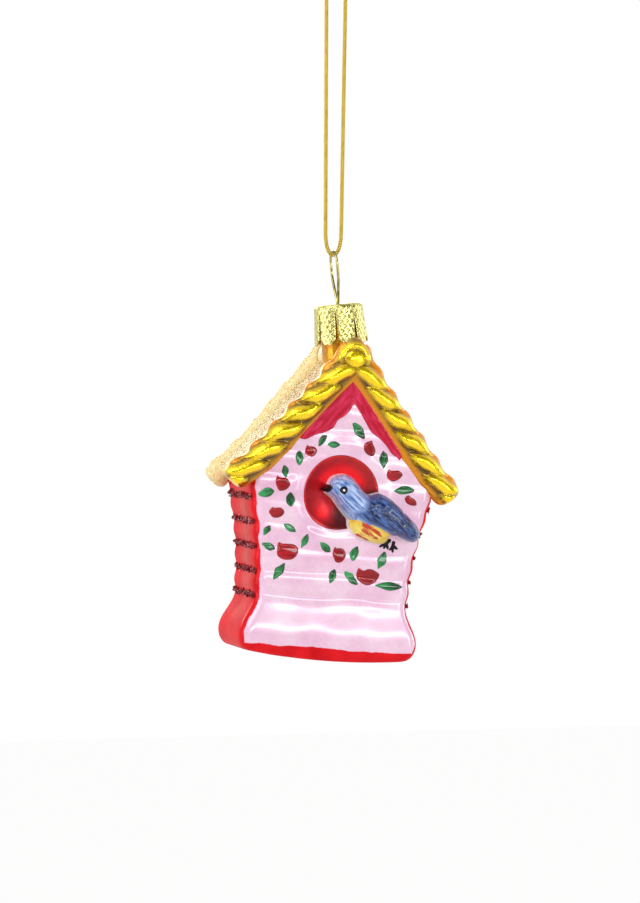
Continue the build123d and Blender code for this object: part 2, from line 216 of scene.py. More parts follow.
def gold_lacquer(tree):
    """Silvered glass under clear yellow lacquer, with painted light in its colour: yellow on the
    rope's raised strands as painted highlight, olive brown between them as painted shade over
    gathered lacquer, and orange along its edges, partly lacquer tint and partly painted shade on
    the sides turned from the light. It is frosted pale where the roof's clear glitter glue ran over
    it."""
    # Painted highlight and shade: the raised strands are yellow, the low parts between them olive
    height = frayed(tree, "strand", cloud(tree, 1.6, -0.15, 0.15, 3.0))
    bright = shade(tree, height, "#8E6A00", "#F6D000", 0.2, 0.75)
    # The groove mark paints shade under each strand; the margin mark paints orange edges, partly
    # tint and partly shade
    groove = node(tree, "Attribute", attribute_name="groove", give="Fac")
    margin = node(tree, "Attribute", attribute_name="margin", give="Fac")
    pooled = shade(tree, groove, bright, "#4E3A00", 0.1, 0.9)
    gold = shade(tree, margin, pooled, "#E89000", 0.2, 0.9)
    frost = frayed(tree, "frost", cloud(tree, 0.7, -0.2, 0.2, 3.0))
    frost = node(tree, "MapRange", frost, 0.2, 0.8)
    clear = node(tree, "MapRange", frost, 0, 1, 0.85, 0.0)
    mirror = node(tree, "MapRange", margin, 0, 1, 1.0, 0.6)
    dull = node(tree, "Math", frost, margin, operation="MAXIMUM")
    return {
        "Base Color": shade(tree, frost, gold, "#F9E4AA"),
        "Metallic": node(tree, "Math", clear, mirror, operation="MULTIPLY"),
        "Roughness": cloud(tree, 0.8, 0.18, 0.32),
        "Normal": node(tree, "Bump", {"Height": grain(tree, 0.9, 3.0), "Distance": 0.12 * MM}),
        "Coat Weight": node(tree, "MapRange", dull, 0, 1, 0.6, 0.06),
        "Coat Roughness": 0.06,
    }


def orange_lacquer(tree):
    """Silvered glass under orange lacquer, thin and uneven, as on the neck."""
    return {
        "Base Color": shade(tree, cloud(tree, 3.0, detail=3.0), "#A86400", "#F2B000"),
        "Metallic": 0.75,
        "Roughness": cloud(tree, 0.8, 0.2, 0.35),
        "Normal": node(tree, "Bump", {"Height": grain(tree, 1.0), "Distance": 0.05 * MM}),
        "Coat Weight": 0.2,
        "Coat Roughness": 0.06,
    }


def glue_coat(tree):
    """Dried clear glue over yellow lacquer: cream, bumpy and half dull, as under roof glitter."""
    return {
        "Base Color": shade(tree, cloud(tree, 1.5, detail=3.0), "#EACB8E", "#FAE8B6"),
        "Roughness": cloud(tree, 0.5, 0.35, 0.55),
        "Specular IOR Level": 0.1,
        "Normal": node(tree, "Bump", {"Height": grain(tree, 0.45, 3.0), "Distance": 0.08 * MM}),
        "Coat Weight": 0.1,
        "Coat Roughness": 0.15,
    }


def dish_lacquer(tree):
    """Silvered glass under clear red lacquer, with painted light in its colour: a painted highlight
    glows bright red near the bird and at a spot low on the left, and painted shade, with gathered
    lacquer, turns it nearly black at the dish's right and lower ends."""
    # Painted light: low values are painted highlight, high values painted shade with gathered
    # lacquer
    pooled = frayed(tree, "pooled", cloud(tree, 4.0, -0.1, 0.1))
    red = shade(tree, pooled, "#FF101C", "#C00A14", 0.0, 0.45)
    return {
        "Base Color": shade(tree, pooled, red, "#3A060A", 0.45, 1.0),
        "Metallic": 0.7,
        "Roughness": cloud(tree, 1.5, 0.34, 0.42),
        "Normal": node(tree, "Bump", {"Height": grain(tree, 3.0), "Distance": 0.05 * MM}),
        "Coat Weight": 0.4,
        "Coat Roughness": 0.16,
    }


def brushed_enamel(tree, dark, light, bristle):
    """Enamel paint laid on with a small brush: each stroke runs from thick dark colour to thin
    pale colour, with bristle streaks along it, under a clear varnish."""
    bristles = grain(tree, bristle, 3.0, (0.25, 1, 1))
    return {
        "Base Color": shade(tree, frayed(tree, "thin", bristles, 0.35), dark, light, 0.15, 0.95),
        "Roughness": node(tree, "MapRange", bristles, *PATTERN, 0.25, 0.4),
        "Specular IOR Level": 0.1,
        "Normal": node(tree, "Bump", {"Height": bristles, "Distance": 0.03 * MM}),
        "Coat Weight": 0.6,
        "Coat Roughness": 0.05,
    }


def bird_enamel(tree):
    """Enamels brushed wet along the bird: pale blue head and breast, deep blue wing and tail, a
    yellow belly with orange red dabs, and a pale rim round its outline, partly unpainted pearl
    where the brush stopped and partly painted highlight on the raised edge."""
    bristles = grain(tree, 0.55, 3.0, (0.16, 1, 1))
    patches = grain(tree, 3.0, 3.0, (0.5, 1, 1))
    pale = shade(tree, bristles, "#4668AE", "#B4C9EE", 0.36, 0.64)
    deep = shade(tree, bristles, "#0A1A4A", "#4E76C0", 0.42, 0.74)
    yellow = shade(tree, patches, "#D9B02C", "#F0DC6A", 0.35, 0.65)
    blue = shade(tree, frayed(tree, "wing", bristles, 0.7), pale, deep, -0.5, 0.7)
    dabbed = shade(tree, frayed(tree, "dab", bristles, 0.45), yellow, "#BE3412", -0.15, 0.2)
    painted = shade(tree, frayed(tree, "belly", bristles, 0.25), blue, dabbed, -0.1, 0.1)
    # Pale rim along the outline: partly unpainted pearl, partly painted highlight of the raised
    # edge
    edge = node(tree, "Attribute", attribute_name="edge", give="Fac")
    return {
        "Base Color": shade(tree, edge, "#F1EDF4", painted, 0.08, 0.3),
        "Roughness": node(tree, "MapRange", bristles, *PATTERN, 0.28, 0.42),
        "Specular IOR Level": 0.1,
        "Normal": node(tree, "Bump", {"Height": bristles, "Distance": 0.1 * MM}),
        "Coat Normal": node(tree, "Bump", {"Height": grain(tree, 1.6), "Distance": 0.5 * MM}),
        "Coat Weight": 0.8,
        "Coat Roughness": 0.06,
    }


def dot_enamel(tree, colour, lighter):
    """A dab of enamel that ran level and dried half glossy, a little uneven in colour."""
    return {
        "Base Color": shade(tree, cloud(tree, 0.4), colour, lighter),
        "Roughness": cloud(tree, 0.3, 0.4, 0.55),
        "Specular IOR Level": 0.1,
        "Coat Weight": 0.2,
        "Coat Roughness": 0.1,
    }


def glitter_film(tree, colours, metallic, roughness):
    """Cut film flakes set in clear glue: each one a flat mirror of its own tone and tilt."""
    tone = node(tree, "Attribute", attribute_name="tone", give="Fac")
    low = shade(tree, tone, colours[0], colours[1], 0.0, 0.5)
    return {
        "Base Color": shade(tree, tone, low, colours[2], 0.5, 1.0),
        "Metallic": metallic,
        "Roughness": cloud(tree, 0.5, roughness, roughness + 0.1),
        "Specular IOR Level": 0.15,
        "Coat Weight": 0.12,
        "Coat Roughness": 0.08,
    }


def stamped_brass(tree):
    """Thin pale gold sheet stamped with a crinkle, its colour painted brighter on its crests as
    highlight and darker olive in its hollows.
    """
    # Painted highlight and shade: crests lighter, hollows darker
    crest = frayed(tree, "crest", cloud(tree, 0.6, -0.2, 0.2, 3.0))
    return {
        "Base Color": shade(tree, crest, "#9E9438", "#DCD58C", 0.0, 0.7),
        "Metallic": 1.0,
        "Roughness": cloud(tree, 0.4, 0.2, 0.36),
        "Normal": node(tree, "Bump", {"Height": grain(tree, 0.3, 3.0), "Distance": 0.02 * MM}),
    }


def drawn_wire(tree):
    """Brass wire drawn through a die: fine uneven lines of 0.4 mm, gold plating gone olive in
    patches of 3 mm. It is the part's own wire, which carries no marks."""
    at = node(tree, "TexCoord", give="Object")
    lines = node(tree, "TexNoise", at, 1 / (0.4 * MM), 2.0)
    tarnish = node(tree, "TexNoise", at, 1 / (3.0 * MM), 3.0)
    return {
        "Base Color": shade(tree, tarnish, "#6F6834", "#C2B878", 0.35, 0.65),
        "Metallic": 1.0,
        "Roughness": node(tree, "MapRange", lines, *PATTERN, 0.1, 0.22),
        "Normal": node(tree, "Bump", {"Height": lines, "Distance": 0.01 * MM}),
    }


def metallic_yarn(tree):
    """Gold film yarn twisted to a cord: shiny filaments along each strand, and painted shade
    darkening the lay lines between strands.
    """
    filaments = grain(tree, 0.16, 2.0, (0.12, 1, 1))
    gold = shade(tree, filaments, "#C09A28", "#F0D85A", 0.35, 0.65)
    # Painted shade: the lay lines between strands are dark, the strands' outsides gold
    proud = node(tree, "Attribute", attribute_name="proud", give="Fac")
    return {
        "Base Color": shade(tree, proud, "#3E2E06", gold, 0.35, 0.95),
        "Metallic": 0.6,
        "Roughness": node(tree, "MapRange", filaments, *PATTERN, 0.3, 0.5),
        "Normal": node(tree, "Bump", {"Height": filaments, "Distance": 0.03 * MM}),
    }


# Meshes: a shape's points are in millimetres, and its marks are for the materials
Shape = namedtuple("Shape", "points faces marks")


def piece(name, shape, made_of, body="house", place=HOUSE, crease=None):
    """A mesh piece from a shape in its own frame, riding on a body. The mark named at says where
    patterns take each point to be, if not where it is."""
    points, faces, marks = shape
    mesh = bpy.data.meshes.new(name)
    mesh.from_pydata(((place[0] + points @ place[1]) * MM).tolist(), [], faces)
    outward = bmesh.new()
    outward.from_mesh(mesh)
    bmesh.ops.recalc_face_normals(outward, faces=outward.faces)
    outward.to_mesh(mesh)
    outward.free()
    for mark_name, values in {"at": points, **marks}.items():
        values = np.asarray(values, np.float32)
        kind, key = ("FLOAT_VECTOR", "vector") if values.ndim == 2 else ("FLOAT", "value")
        layer = mesh.attributes.new(mark_name, kind, "POINT")
        layer.data.foreach_set(key, values.ravel())
    mesh.shade_smooth()
    if crease:
        mesh.set_sharp_from_angle(angle=radians(crease))
    mesh.materials.append(made_of)
    made = bpy.data.objects.new(name, mesh)
    bpy.context.scene.collection.objects.link(made)
    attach(made, body)
    return made


def grid_shape(x, y, z, closed=True, ends=False, **marks):
    """A shape from a grid of points and of marks. Closed joins its last column to its first, and
    ends fills its first and last rows."""
    grid = np.stack(np.broadcast_arrays(x, y, z), -1)
    rows, columns, _ = grid.shape
    across = np.arange(columns if closed else columns - 1)
    first = np.arange(rows - 1)[:, None] * columns + across
    second = np.arange(rows - 1)[:, None] * columns + (across + 1) % columns
    faces = np.stack((first, second, second + columns, first + columns), -1)
    faces = faces.reshape(-1, 4).tolist()
    if ends:
        last = (rows - 1) * columns
        faces += [list(range(columns)), list(range(last, last + columns))]
    marks = {name: np.broadcast_to(v, (rows, columns)).reshape(-1) for name, v in marks.items()}
    return Shape(grid.reshape(-1, 3), faces, marks)


def joined(shapes):
    """Several shapes as one."""
    faces, start = [], 0
    for shape in shapes:
        faces += [[i + start for i in face] for face in shape.faces]
        start += len(shape.points)
    marks = {m: np.concatenate([s.marks[m] for s in shapes]) for m in shapes[0].marks}
    return Shape(np.concatenate([s.points for s in shapes]), faces, marks)


def ramp(value, low, high):
    """0 up to low, 1 from high on, and straight between."""
    return np.clip((value - low) / (high - low), 0, 1)


def hill(value, middle, width):
    """1 at a middle, falling softly to 0 on both sides."""
    return np.exp(-(((value - middle) / width) ** 2))


def unit(vectors):
    """Vectors brought to length 1."""
    return vectors / np.linalg.norm(vectors, axis=-1, keepdims=True)


def circle(angle, first, second):
    """Places round a circle that has these two directions."""
    return np.cos(angle)[..., None] * first + np.sin(angle)[..., None] * second


def full_turn(count):
    """Angles evenly round a full turn."""
    return np.linspace(0, 2 * pi, count, endpoint=False)


def polar(reach, angle):
    """Places at a reach and an angle from a middle."""
    return reach * np.cos(angle), reach * np.sin(angle)


def turned_to(x, z, middle, tilt):
    """How far places are from a middle, along a tilted direction and across it."""
    right, up = x - middle[0], z - middle[1]
    return right * cos(tilt) + up * sin(tilt), up * cos(tilt) - right * sin(tilt)


def evenly(line, step, closed=False):
    """Points along a line, about a step apart, and how far along each is."""
    runs = np.cumsum(np.linalg.norm(np.diff(line, axis=0), axis=1))
    runs = np.concatenate(((0,), runs))
    count = int(runs[-1] / step)
    count = max(12, count) if closed else count + 1
    along = np.linspace(0, runs[-1], count, endpoint=not closed)
    return np.stack([np.interp(along, runs, column) for column in line.T], -1), along


# Cord: its route's points from the part's source, with one more on each straight run by its ends
CORD_ROUTE = [
    (-0.647, 2.415), (-1.467, 2.195), (-2.5, 0.849), (-2.526, -5.15), (-2.774, -63.0),
    (-2.8, -69.0), (-1.65, -72.0), (0.05, -72.0), (1.2, -69.0), (1.312, -63.0),
    (2.388, -5.15), (2.5, 0.849), (1.467, 2.195), (0.647, 2.415),
]
CORD_STEP = 0.13
STRAND_RADIUS = 0.255
STRAND_REACH = 0.265
STRAND_LAY = 1.95
LAY_LINE_REACH = 0.3
KNOT_TURN = [
    (-0.65, 0.0, 2.4), (-0.3, -0.3, 2.9), (0.9, -0.95, 3.2), (1.25, 0.4, 3.7), (-0.2, 1.1, 4.0),
    (-1.2, 0.1, 4.3), (-0.45, -0.5, 5.0), (-0.8, 0.0, 7.0), (-1.5, 0.0, 9.6),
]


def laid_line(route):
    """Points of the smooth line that has these points as its control points."""
    curve = bpy.data.curves.new("line", "CURVE")
    curve.dimensions = "3D"
    curve.resolution_u = 60
    spline = curve.splines.new("NURBS")
    spline.points.add(len(route) - 1)
    for point, spot in zip(spline.points, route):
        point.co = (*spot, 1)
    spline.order_u = 3
    spline.use_endpoint_u = True
    holder = bpy.data.objects.new("line", curve)
    mesh = bpy.data.meshes.new_from_object(holder)
    line = np.array([v.co[:] for v in mesh.vertices])
    bpy.data.objects.remove(holder)
    bpy.data.curves.remove(curve)
    bpy.data.meshes.remove(mesh)
    return line


def sideways(line, hint):
    """Two directions square to a line at each of its points; a hint keeps them from turning."""
    heading = unit(np.gradient(line, axis=0))
    first = unit(np.cross(heading, np.array(hint)))
    return first, np.cross(heading, first)


def tube(line, radius, sides, along, strand):
    """A closed round tube on a line, whose radius may vary. Its patterns run along and round it."""
    first, second = sideways(line, (0.31, 0.9, 0.29))
    angle = full_turn(sides)
    reach = np.broadcast_to(radius, (len(line),))[:, None, None]
    grid = line[:, None] + reach * circle(angle[None], first[:, None], second[:, None])
    made = grid_shape(*np.moveaxis(grid, -1, 0), ends=True)
    at = grid_shape(along[:, None], angle[None] * STRAND_RADIUS + strand, strand * 3.7)
    made.marks["at"] = at.points
    return made


def twisted(line):
    """Three strands laid round a line; the mark proud is 1 on their outsides, 0 in lay lines."""
    middle, along = evenly(line, CORD_STEP)
    first, second = sideways(middle, (0.0, 1.0, 0.12))
    shapes = []
    for strand in range(3):
        turn = 2 * pi * (along / STRAND_LAY + strand / 3)
        strand_line = middle + STRAND_REACH * circle(turn, first, second)
        made = tube(strand_line, STRAND_RADIUS, 8, along, strand)
        reach = np.linalg.norm(made.points - np.repeat(middle, 8, axis=0), axis=-1)
        full = STRAND_REACH + STRAND_RADIUS - LAY_LINE_REACH
        # The proud mark paints shade into the lay lines
        made.marks["proud"] = (reach - LAY_LINE_REACH) / full
        shapes.append(made)
    return joined(shapes)


yarn = finish("twisted_gold_film_yarn", metallic_yarn)
cord_line = laid_line([(x, 0, z) for x, z in CORD_ROUTE])
cord = piece("gold_cord", twisted(cord_line), yarn, "hanging_cord", ROW)
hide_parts("cord")
knot_turns = [laid_line([(s * x, s * y, z) for x, y, z in KNOT_TURN]) for s in (1, -1)]
tied = joined([twisted(turn) for turn in knot_turns])
knot = piece("tied_knot", tied, yarn, "hanging_cord", ROW)
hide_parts("cord_knot")


# House walls


def wall_half(z, sizes):
    """Half of the walls' width or depth at heights above the foot, boards left off."""
    foot, waist, top = sizes
    flare = (1 - np.cos(pi * ramp(z, FOOT_HEIGHT, WAIST_HEIGHT))) / 2
    return foot + (waist - foot) * flare + (top - waist) * ramp(z, WAIST_HEIGHT, WALL_HEIGHT) ** 2


def board_swell(z):
    """How far a side wall's boards swell, 0 in the board lines and 1 between them."""
    swell = np.sin(pi * (z - WAIST_HEIGHT) / BOARD_PITCH) ** 2
    return np.where((z > BOARD_LINES[0]) & (z < BOARD_LINES[-1]), swell, 0)


def board_grooves(x, z):
    """Soft grooves of the board lines across a gable wall, each one a little wavy."""
    depth = 0
    for i, line in enumerate(GABLE_LINES):
        wave = 0.6 + 0.35 * np.sin(x / 6.3 + 1.9 * i) + 0.15 * np.sin(x / 2.7 + 0.7 * i)
        sharp = 1 if i < 2 else 0.72
        depth = depth + GROOVE_DEPTH * sharp * hill(z, line + wave, GROOVE_WIDTH / sharp**0.5)
    return depth


def blown_wobble(x, z):
    """Slow unevenness of the blown glass."""
    return 0.05 * np.sin(0.31 * x + 0.23 * z) + 0.03 * np.sin(0.55 * x - 0.37 * z + 1.3)


def front_face(x, z):
    """Front of the house: the gable wall with its board lines and the dish of the entrance."""
    from_middle = np.hypot(x - ENTRANCE[0], z - ENTRANCE[1])
    spot = (ENTRANCE_RADIUS**2 - from_middle**2) / (2 * DISH_RADIUS)
    dish = 0.12 * np.logaddexp(0, spot / 0.12)
    calm = 1 / (1 + np.exp(np.clip(spot * 6, -40, 40)))
    lip = 0.25 * hill(from_middle, ENTRANCE_RADIUS + 2.4, 1.2)
    uneven = board_grooves(x, z) - blown_wobble(x, z) - lip
    return -wall_half(z, DEPTHS) + uneven * calm + dish


def house_walls():
    """Walls from the middle of the foot's underside up to the gables' tops, as one sheet. The mark
    pink is above 0 on the fronts; the side band mark is a paler band of painted reflection down the
    middle of each side wall, weaker toward the foot."""
    front = np.linspace(-1, 1, 101)
    side = np.linspace(-1, 1, 31)[1:-1]
    turn = np.linspace(0, pi / 2, 11)[1:-1]
    half_round = [
        (front, -1, 0, -1),
        (1, -1, np.sin(turn), -np.cos(turn)),
        (1, side, 1, 0),
        (1, 1, np.cos(turn), np.sin(turn)),
    ]
    half_round = np.concatenate([np.broadcast_arrays(*run) for run in half_round], axis=1)
    along_x, along_y, normal_x, normal_y = np.concatenate((half_round, -half_round), axis=1)

    crown = np.linspace(0.04, 1, 14)
    bend = np.linspace(0, pi / 2, 22)[1:]
    wall_z = np.arange(FOOT_HEIGHT + 0.35, WALL_HEIGHT, 0.35)
    rise_z = np.concatenate((wall_z, np.arange(WALL_HEIGHT, WALL_TOP, 0.55)))
    roof_half = (TRIM_APEX - rise_z) / tan(PITCH)
    halves = []
    for sizes, limit in ((WIDTHS, roof_half), (DEPTHS, np.inf)):
        foot = sizes[0] - FOOT_ROUND_IN
        rise = np.minimum(wall_half(rise_z, sizes), limit)
        rows = (crown * foot, foot + FOOT_ROUND_IN * np.sin(bend), rise)
        halves.append(np.concatenate(rows)[:, None])
    width, depth = halves
    corner = np.minimum(WALL_CORNER, 0.9 * np.minimum(width, depth))
    x = along_x * (width - corner) + normal_x * corner
    y = along_y * (depth - corner) + normal_y * corner

    reach = np.clip(np.abs(x) / WIDTHS[0], 0, 1)
    edge_z = FOOT_HEIGHT - FOOT_ROUND_DOWN - FOOT_BOW * (1 - reach**2)
    crown_edge, bend_edge, _ = np.split(edge_z, (len(crown), len(crown) + len(bend)))
    crown_z = (crown_edge + FOOT_CROWN) * (1 - (1 - crown[:, None] ** 2) ** 2) - FOOT_CROWN
    bend_z = FOOT_HEIGHT + (bend_edge - FOOT_HEIGHT) * np.cos(bend)[:, None]
    rise_z = np.broadcast_to(rise_z[:, None], (len(rise_z), len(along_x)))
    level = np.concatenate((crown_z, bend_z, rise_z))

    above_foot = level >= FOOT_HEIGHT - 0.01
    front_relief = front_face(x, level) + wall_half(level, DEPTHS)
    back_relief = board_grooves(x, level) - blown_wobble(x, level)
    y = y + np.where(above_foot, np.clip(-normal_y, 0, 1) * front_relief, 0)
    y = y - np.where(above_foot, np.clip(normal_y, 0, 1) * back_relief, 0)
    pink = np.where(x < 0, width - PINK_FROM_LEFT + x, width - PINK_FROM_RIGHT - x)
    pink = np.minimum(pink, level - PINK_FROM_FOOT)
    pink = np.where(np.abs(normal_y) < 1e-6, np.minimum(pink, -1), pink)
    # Painted reflection: a paler band down the middle of each side wall, weaker toward the foot, on
    # the sides only
    bare = hill(y, -2.0, 4.5) * np.clip(level / 16, 0.3, 1)
    bare = np.where(np.abs(normal_x) > 0.5, bare, 0)
    x = x + normal_x * BOARD_SWELL * board_swell(level)

    sheet = grid_shape(x, y, level, pink=pink, bare=bare)
    faces = np.array(sheet.faces)
    is_side = np.abs(normal_y[faces[:, 0] % len(along_x)]) < 0.3
    faces = faces[~(is_side & (sheet.points[faces[:, 0], 2] > SIDE_TOP))].tolist()
    return sheet._replace(faces=faces + [list(range(len(along_x)))])


walls = piece(
    "house_walls", house_walls(), finish("silvered_glass_pearl_pink_and_red_lacquer", wall_lacquer)
)
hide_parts("glass_shell")


# Painted and moulded shapes that lie on the front wall


def smooth_loop(spots, step):
    """Closed smooth outline through a few spots, as points about a step apart."""
    here = np.asarray(spots, float)[:, None]
    before, after, beyond = (np.roll(here, turn, 0) for turn in (1, -1, -2))
    share = np.linspace(0, 1, 24, endpoint=False)[None, :, None]
    loop = 0.5 * (
        2 * here
        + (after - before) * share
        + (2 * before - 5 * here + 4 * after - beyond) * share**2
        + (3 * here - before - 3 * after + beyond) * share**3
    )
    loop = loop.reshape(-1, 2)
    return evenly(np.concatenate((loop, loop[:1])), step, closed=True)[0]


def inside_by(loop, x, z):
    """How far points are inside a closed outline; less than 0 outside."""
    tiny = 1e-12
    run = np.roll(loop, -1, 0) - loop
    offset = np.stack((x, z), -1)[..., None, :] - loop
    share = np.clip((offset * run).sum(-1) / np.maximum((run**2).sum(-1), tiny), 0, 1)
    nearest = np.linalg.norm(offset - share[..., None] * run, axis=-1).min(-1)
    x, z, start, end = x[..., None], z[..., None], loop[:, 1], loop[:, 1] + run[:, 1]
    steep = np.where(np.abs(run[:, 1]) < tiny, tiny, run[:, 1])
    at_x = loop[:, 0] + (z - start) / steep * run[:, 0]
    crossed = ((start > z) != (end > z)) & (x < at_x)
    return np.where(crossed.sum(-1) % 2 == 1, nearest, -nearest)


def laid_patch(loop, step, lie, sink=0.4):
    """A patch with this outline: lie(x, z, inside) gives its face, and its rim is sunk."""
    low, high = loop.min(0), loop.max(0)
    rows = np.arange(low[1], high[1], step * 0.866)
    x, z = np.meshgrid(np.arange(low[0], high[0], step), rows)
    x = x + (np.arange(len(rows)) % 2)[:, None] * step / 2
    keep = inside_by(loop, x, z) > 0.45 * step
    spots = np.concatenate((loop, np.stack((x[keep], z[keep]), -1)))
    rim = list(range(len(loop)))
    flat, _, faces, *_ = delaunay_2d_cdt([Vector(s) for s in spots], [], [rim], 1, 1e-6)
    x, z = np.array([v[:] for v in flat]).T
    inside = np.maximum(inside_by(loop, x, z), 0)
    points = np.stack((x, lie(x, z, inside), z), -1)
    faces = [list(f) for f in faces]
    edges = dict.fromkeys(edge for face in faces for edge in zip(face, face[1:] + face[:1]))
    border = [(a, b) for a, b in edges if (b, a) not in edges]
    on_border = list(dict.fromkeys(i for edge in border for i in edge))
    sunk = {a: len(points) + i for i, a in enumerate(on_border)}
    points = np.concatenate((points, points[on_border] + np.array((0, sink, 0))))
    faces += [[b, a, sunk[a], sunk[b]] for a, b in border]
    return Shape(points, faces, {})


def soft_edge(inside, width):
    """Rounded rise from an outline, 0 at it and 1 from this width inwards."""
    return np.sqrt(1 - (1 - np.clip(inside / width, 0, 1)) ** 2)


def film(thickness, width, base=front_face):
    """How a film of paint lies on a face: thin, with a rounded edge."""
    return lambda x, z, inside: base(x, z) - thickness * (0.3 + 0.7 * soft_edge(inside, width))


# Bird in relief: its outline, and the fields of colour that are brushed on it
BIRD_OUTLINE = [
    (-4.4, 39.55), (-4.25, 40.7), (-4.05, 41.6), (-3.65, 42.8), (-2.5, 43.95), (-0.37, 44.55),
    (1.7, 44.1), (3.35, 42.8), (4.7, 41.25), (5.65, 40.35), (6.55, 40.0), (7.7, 40.4), (9.0, 40.65),
    (11.09, 39.85), (13.45, 38.4), (15.88, 36.4), (18.06, 34.6), (19.65, 32.95), (20.35, 31.55),
    (20.25, 30.12), (19.4, 29.1), (18.1, 28.87), (16.13, 29.36), (14.27, 30.04), (12.82, 30.0),
    (12.53, 29.37), (11.75, 28.26), (10.23, 27.81), (8.19, 27.95), (6.12, 28.51), (4.26, 29.19),
    (2.81, 30.33), (1.85, 31.71), (1.7, 33.35), (0.95, 34.32), (-0.15, 35.5), (-1.45, 37.04),
    (-2.7, 38.4),
]
WING_OUTLINE = [
    (5.5, 39.0), (6.6, 40.1), (8.9, 40.8), (11.09, 40.1), (13.45, 38.7), (15.88, 36.8),
    (18.06, 35.0), (19.95, 33.2), (20.8, 31.62), (20.7, 30.0), (19.6, 28.8), (18.19, 28.5),
    (16.13, 29.0), (13.13, 30.1), (10.6, 31.3), (8.2, 32.2), (5.6, 33.1), (2.6, 34.9), (3.9, 35.7),
    (4.9, 36.5), (5.1, 37.7),
]
BELLY_OUTLINE = [
    (0.9, 33.15), (2.71, 33.57), (4.79, 32.91), (7.3, 32.49), (9.38, 31.83), (11.5, 30.86),
    (13.23, 30.2), (12.92, 29.3), (11.98, 28.0), (10.23, 27.4), (8.19, 27.5), (5.92, 28.1),
    (4.04, 28.8), (2.37, 30.0), (1.22, 31.71),
]
BELLY_STROKES = [
    ([(5.0, 32.7), (7.2, 31.6), (9.4, 30.1)], 1.1), ([(4.9, 31.3), (6.8, 30.4), (8.7, 29.4)], 0.8),
    ([(4.1, 29.9), (5.3, 29.4), (6.6, 28.9)], 0.7),
]
BEAK_OUTLINE = [
    (-5.6, 40.35), (-5.0, 40.66), (-4.45, 41.1), (-3.9, 41.65), (-3.2, 41.2), (-3.4, 40.0),
    (-4.0, 39.5), (-4.45, 39.75), (-5.0, 40.1),
]
BEAK_TIP, BEAK_LENGTH = -5.6, 2.1
BIRD_TILT = radians(-35)
BIRD_START = (-0.6, 40.4)
# Middle, half length, half girth, tilt and height of the head, body, wing and tail
BIRD_SWELLINGS = [
    ((-0.1, 40.3), 6.2, 5.6, 0.0, 3.7), ((5.6, 35.0), 10.5, 6.4, radians(-38), 4.0),
    ((12.0, 34.9), 10.8, 5.4, BIRD_TILT, 4.4), ((16.5, 31.8), 6.5, 4.5, radians(-30), 2.6),
]
bird_loop = smooth_loop(BIRD_OUTLINE, 0.2)
wing_loop = smooth_loop(WING_OUTLINE, 0.3)


# Entrance dish: red lacquer to a hand-painted rim
DISH_RIM = 9.35
DISH_MIDDLE = (ENTRANCE[0] + 0.2, ENTRANCE[1] + 0.1)
# Spot of painted highlight low on the left of the dish
PAINTED_HIGHLIGHT_SPOT = (-4.6, 34.3)
angles = full_turn(40)
rim = DISH_RIM + 0.18 * np.sin(2 * angles + 0.6) + 0.12 * np.sin(3 * angles + 2.0)
dish_loop = smooth_loop(np.stack(polar(rim, angles), -1) + DISH_MIDDLE, 0.35)
dish = laid_patch(dish_loop, 0.4, film(0.09, 0.4))
dish_x, _, dish_z = dish.points.T
around = np.arctan2(dish_z - ENTRANCE[1], dish_x - ENTRANCE[0])
past_bird = -inside_by(bird_loop, dish_x, dish_z)
# Painted highlight near the bird and at a spot low on the left; painted shade, with gathered
# lacquer, at the right and lower ends
glow = hill(past_bird, 0.9, 1.5) * np.clip(np.sin(around) * 2, 0, 1)
glow = glow + np.exp(-((dish_x - PAINTED_HIGHLIGHT_SPOT[0]) ** 2 + (dish_z - PAINTED_HIGHLIGHT_SPOT[1]) ** 2) / 3.2)
to_right, to_bottom = hill(around, -0.1, 0.5), hill(around, -1.35, 0.55)
dish.marks["pooled"] = np.clip(0.5 - 0.55 * glow + 0.5 * to_right + 0.45 * to_bottom, 0, 1)
piece("entrance_dish", dish, finish("silvered_glass_clear_red_lacquer", dish_lacquer))


def stroke_loop(spots, width, step):
    """Outline of one brush stroke, rounded at its start and thin at its end."""
    spots = np.asarray(spots, float)
    heading = unit(np.gradient(spots, axis=0))
    aside = np.stack((-heading[:, 1], heading[:, 0]), -1)
    half = width / 2 * np.linspace(1.1, 0.7, len(spots))[:, None]
    nose = spots[-1] + heading[-1] * width * 0.4
    tail = spots[0] - heading[0] * width * 0.4
    return smooth_loop([tail, *(spots + aside * half), nose, *(spots - aside * half)[::-1]], step)


def bird_face(x, z, inside):
    """Face of the bird: egg-shaped head, body, wing and tail swell out and run into each other."""
    crown = 0
    for middle, half_length, half_girth, tilt, proud in BIRD_SWELLINGS:
        along, across = turned_to(x, z, middle, tilt)
        egg = 1 - (along / half_length) ** 2 - (across / half_girth) ** 2
        crown = crown + (proud * np.sqrt(np.clip(egg, 0, 1))) ** 4
    wing = ramp(inside_by(wing_loop, x, z), 0, 0.7)
    along, across = turned_to(x, z, BIRD_START, BIRD_TILT)
    feathers = np.abs(np.sin(across * 1.9 + 0.25 * np.sin(along / 2.1))) * ramp(along, 9, 14)
    crown = crown**0.25 + wing * wing * (3 - 2 * wing) * (0.4 + 0.16 * feathers)
    wall = front_face(x, z)
    return wall + (-DEPTHS[2] - crown - wall) * soft_edge(inside, 2.3) - 0.12


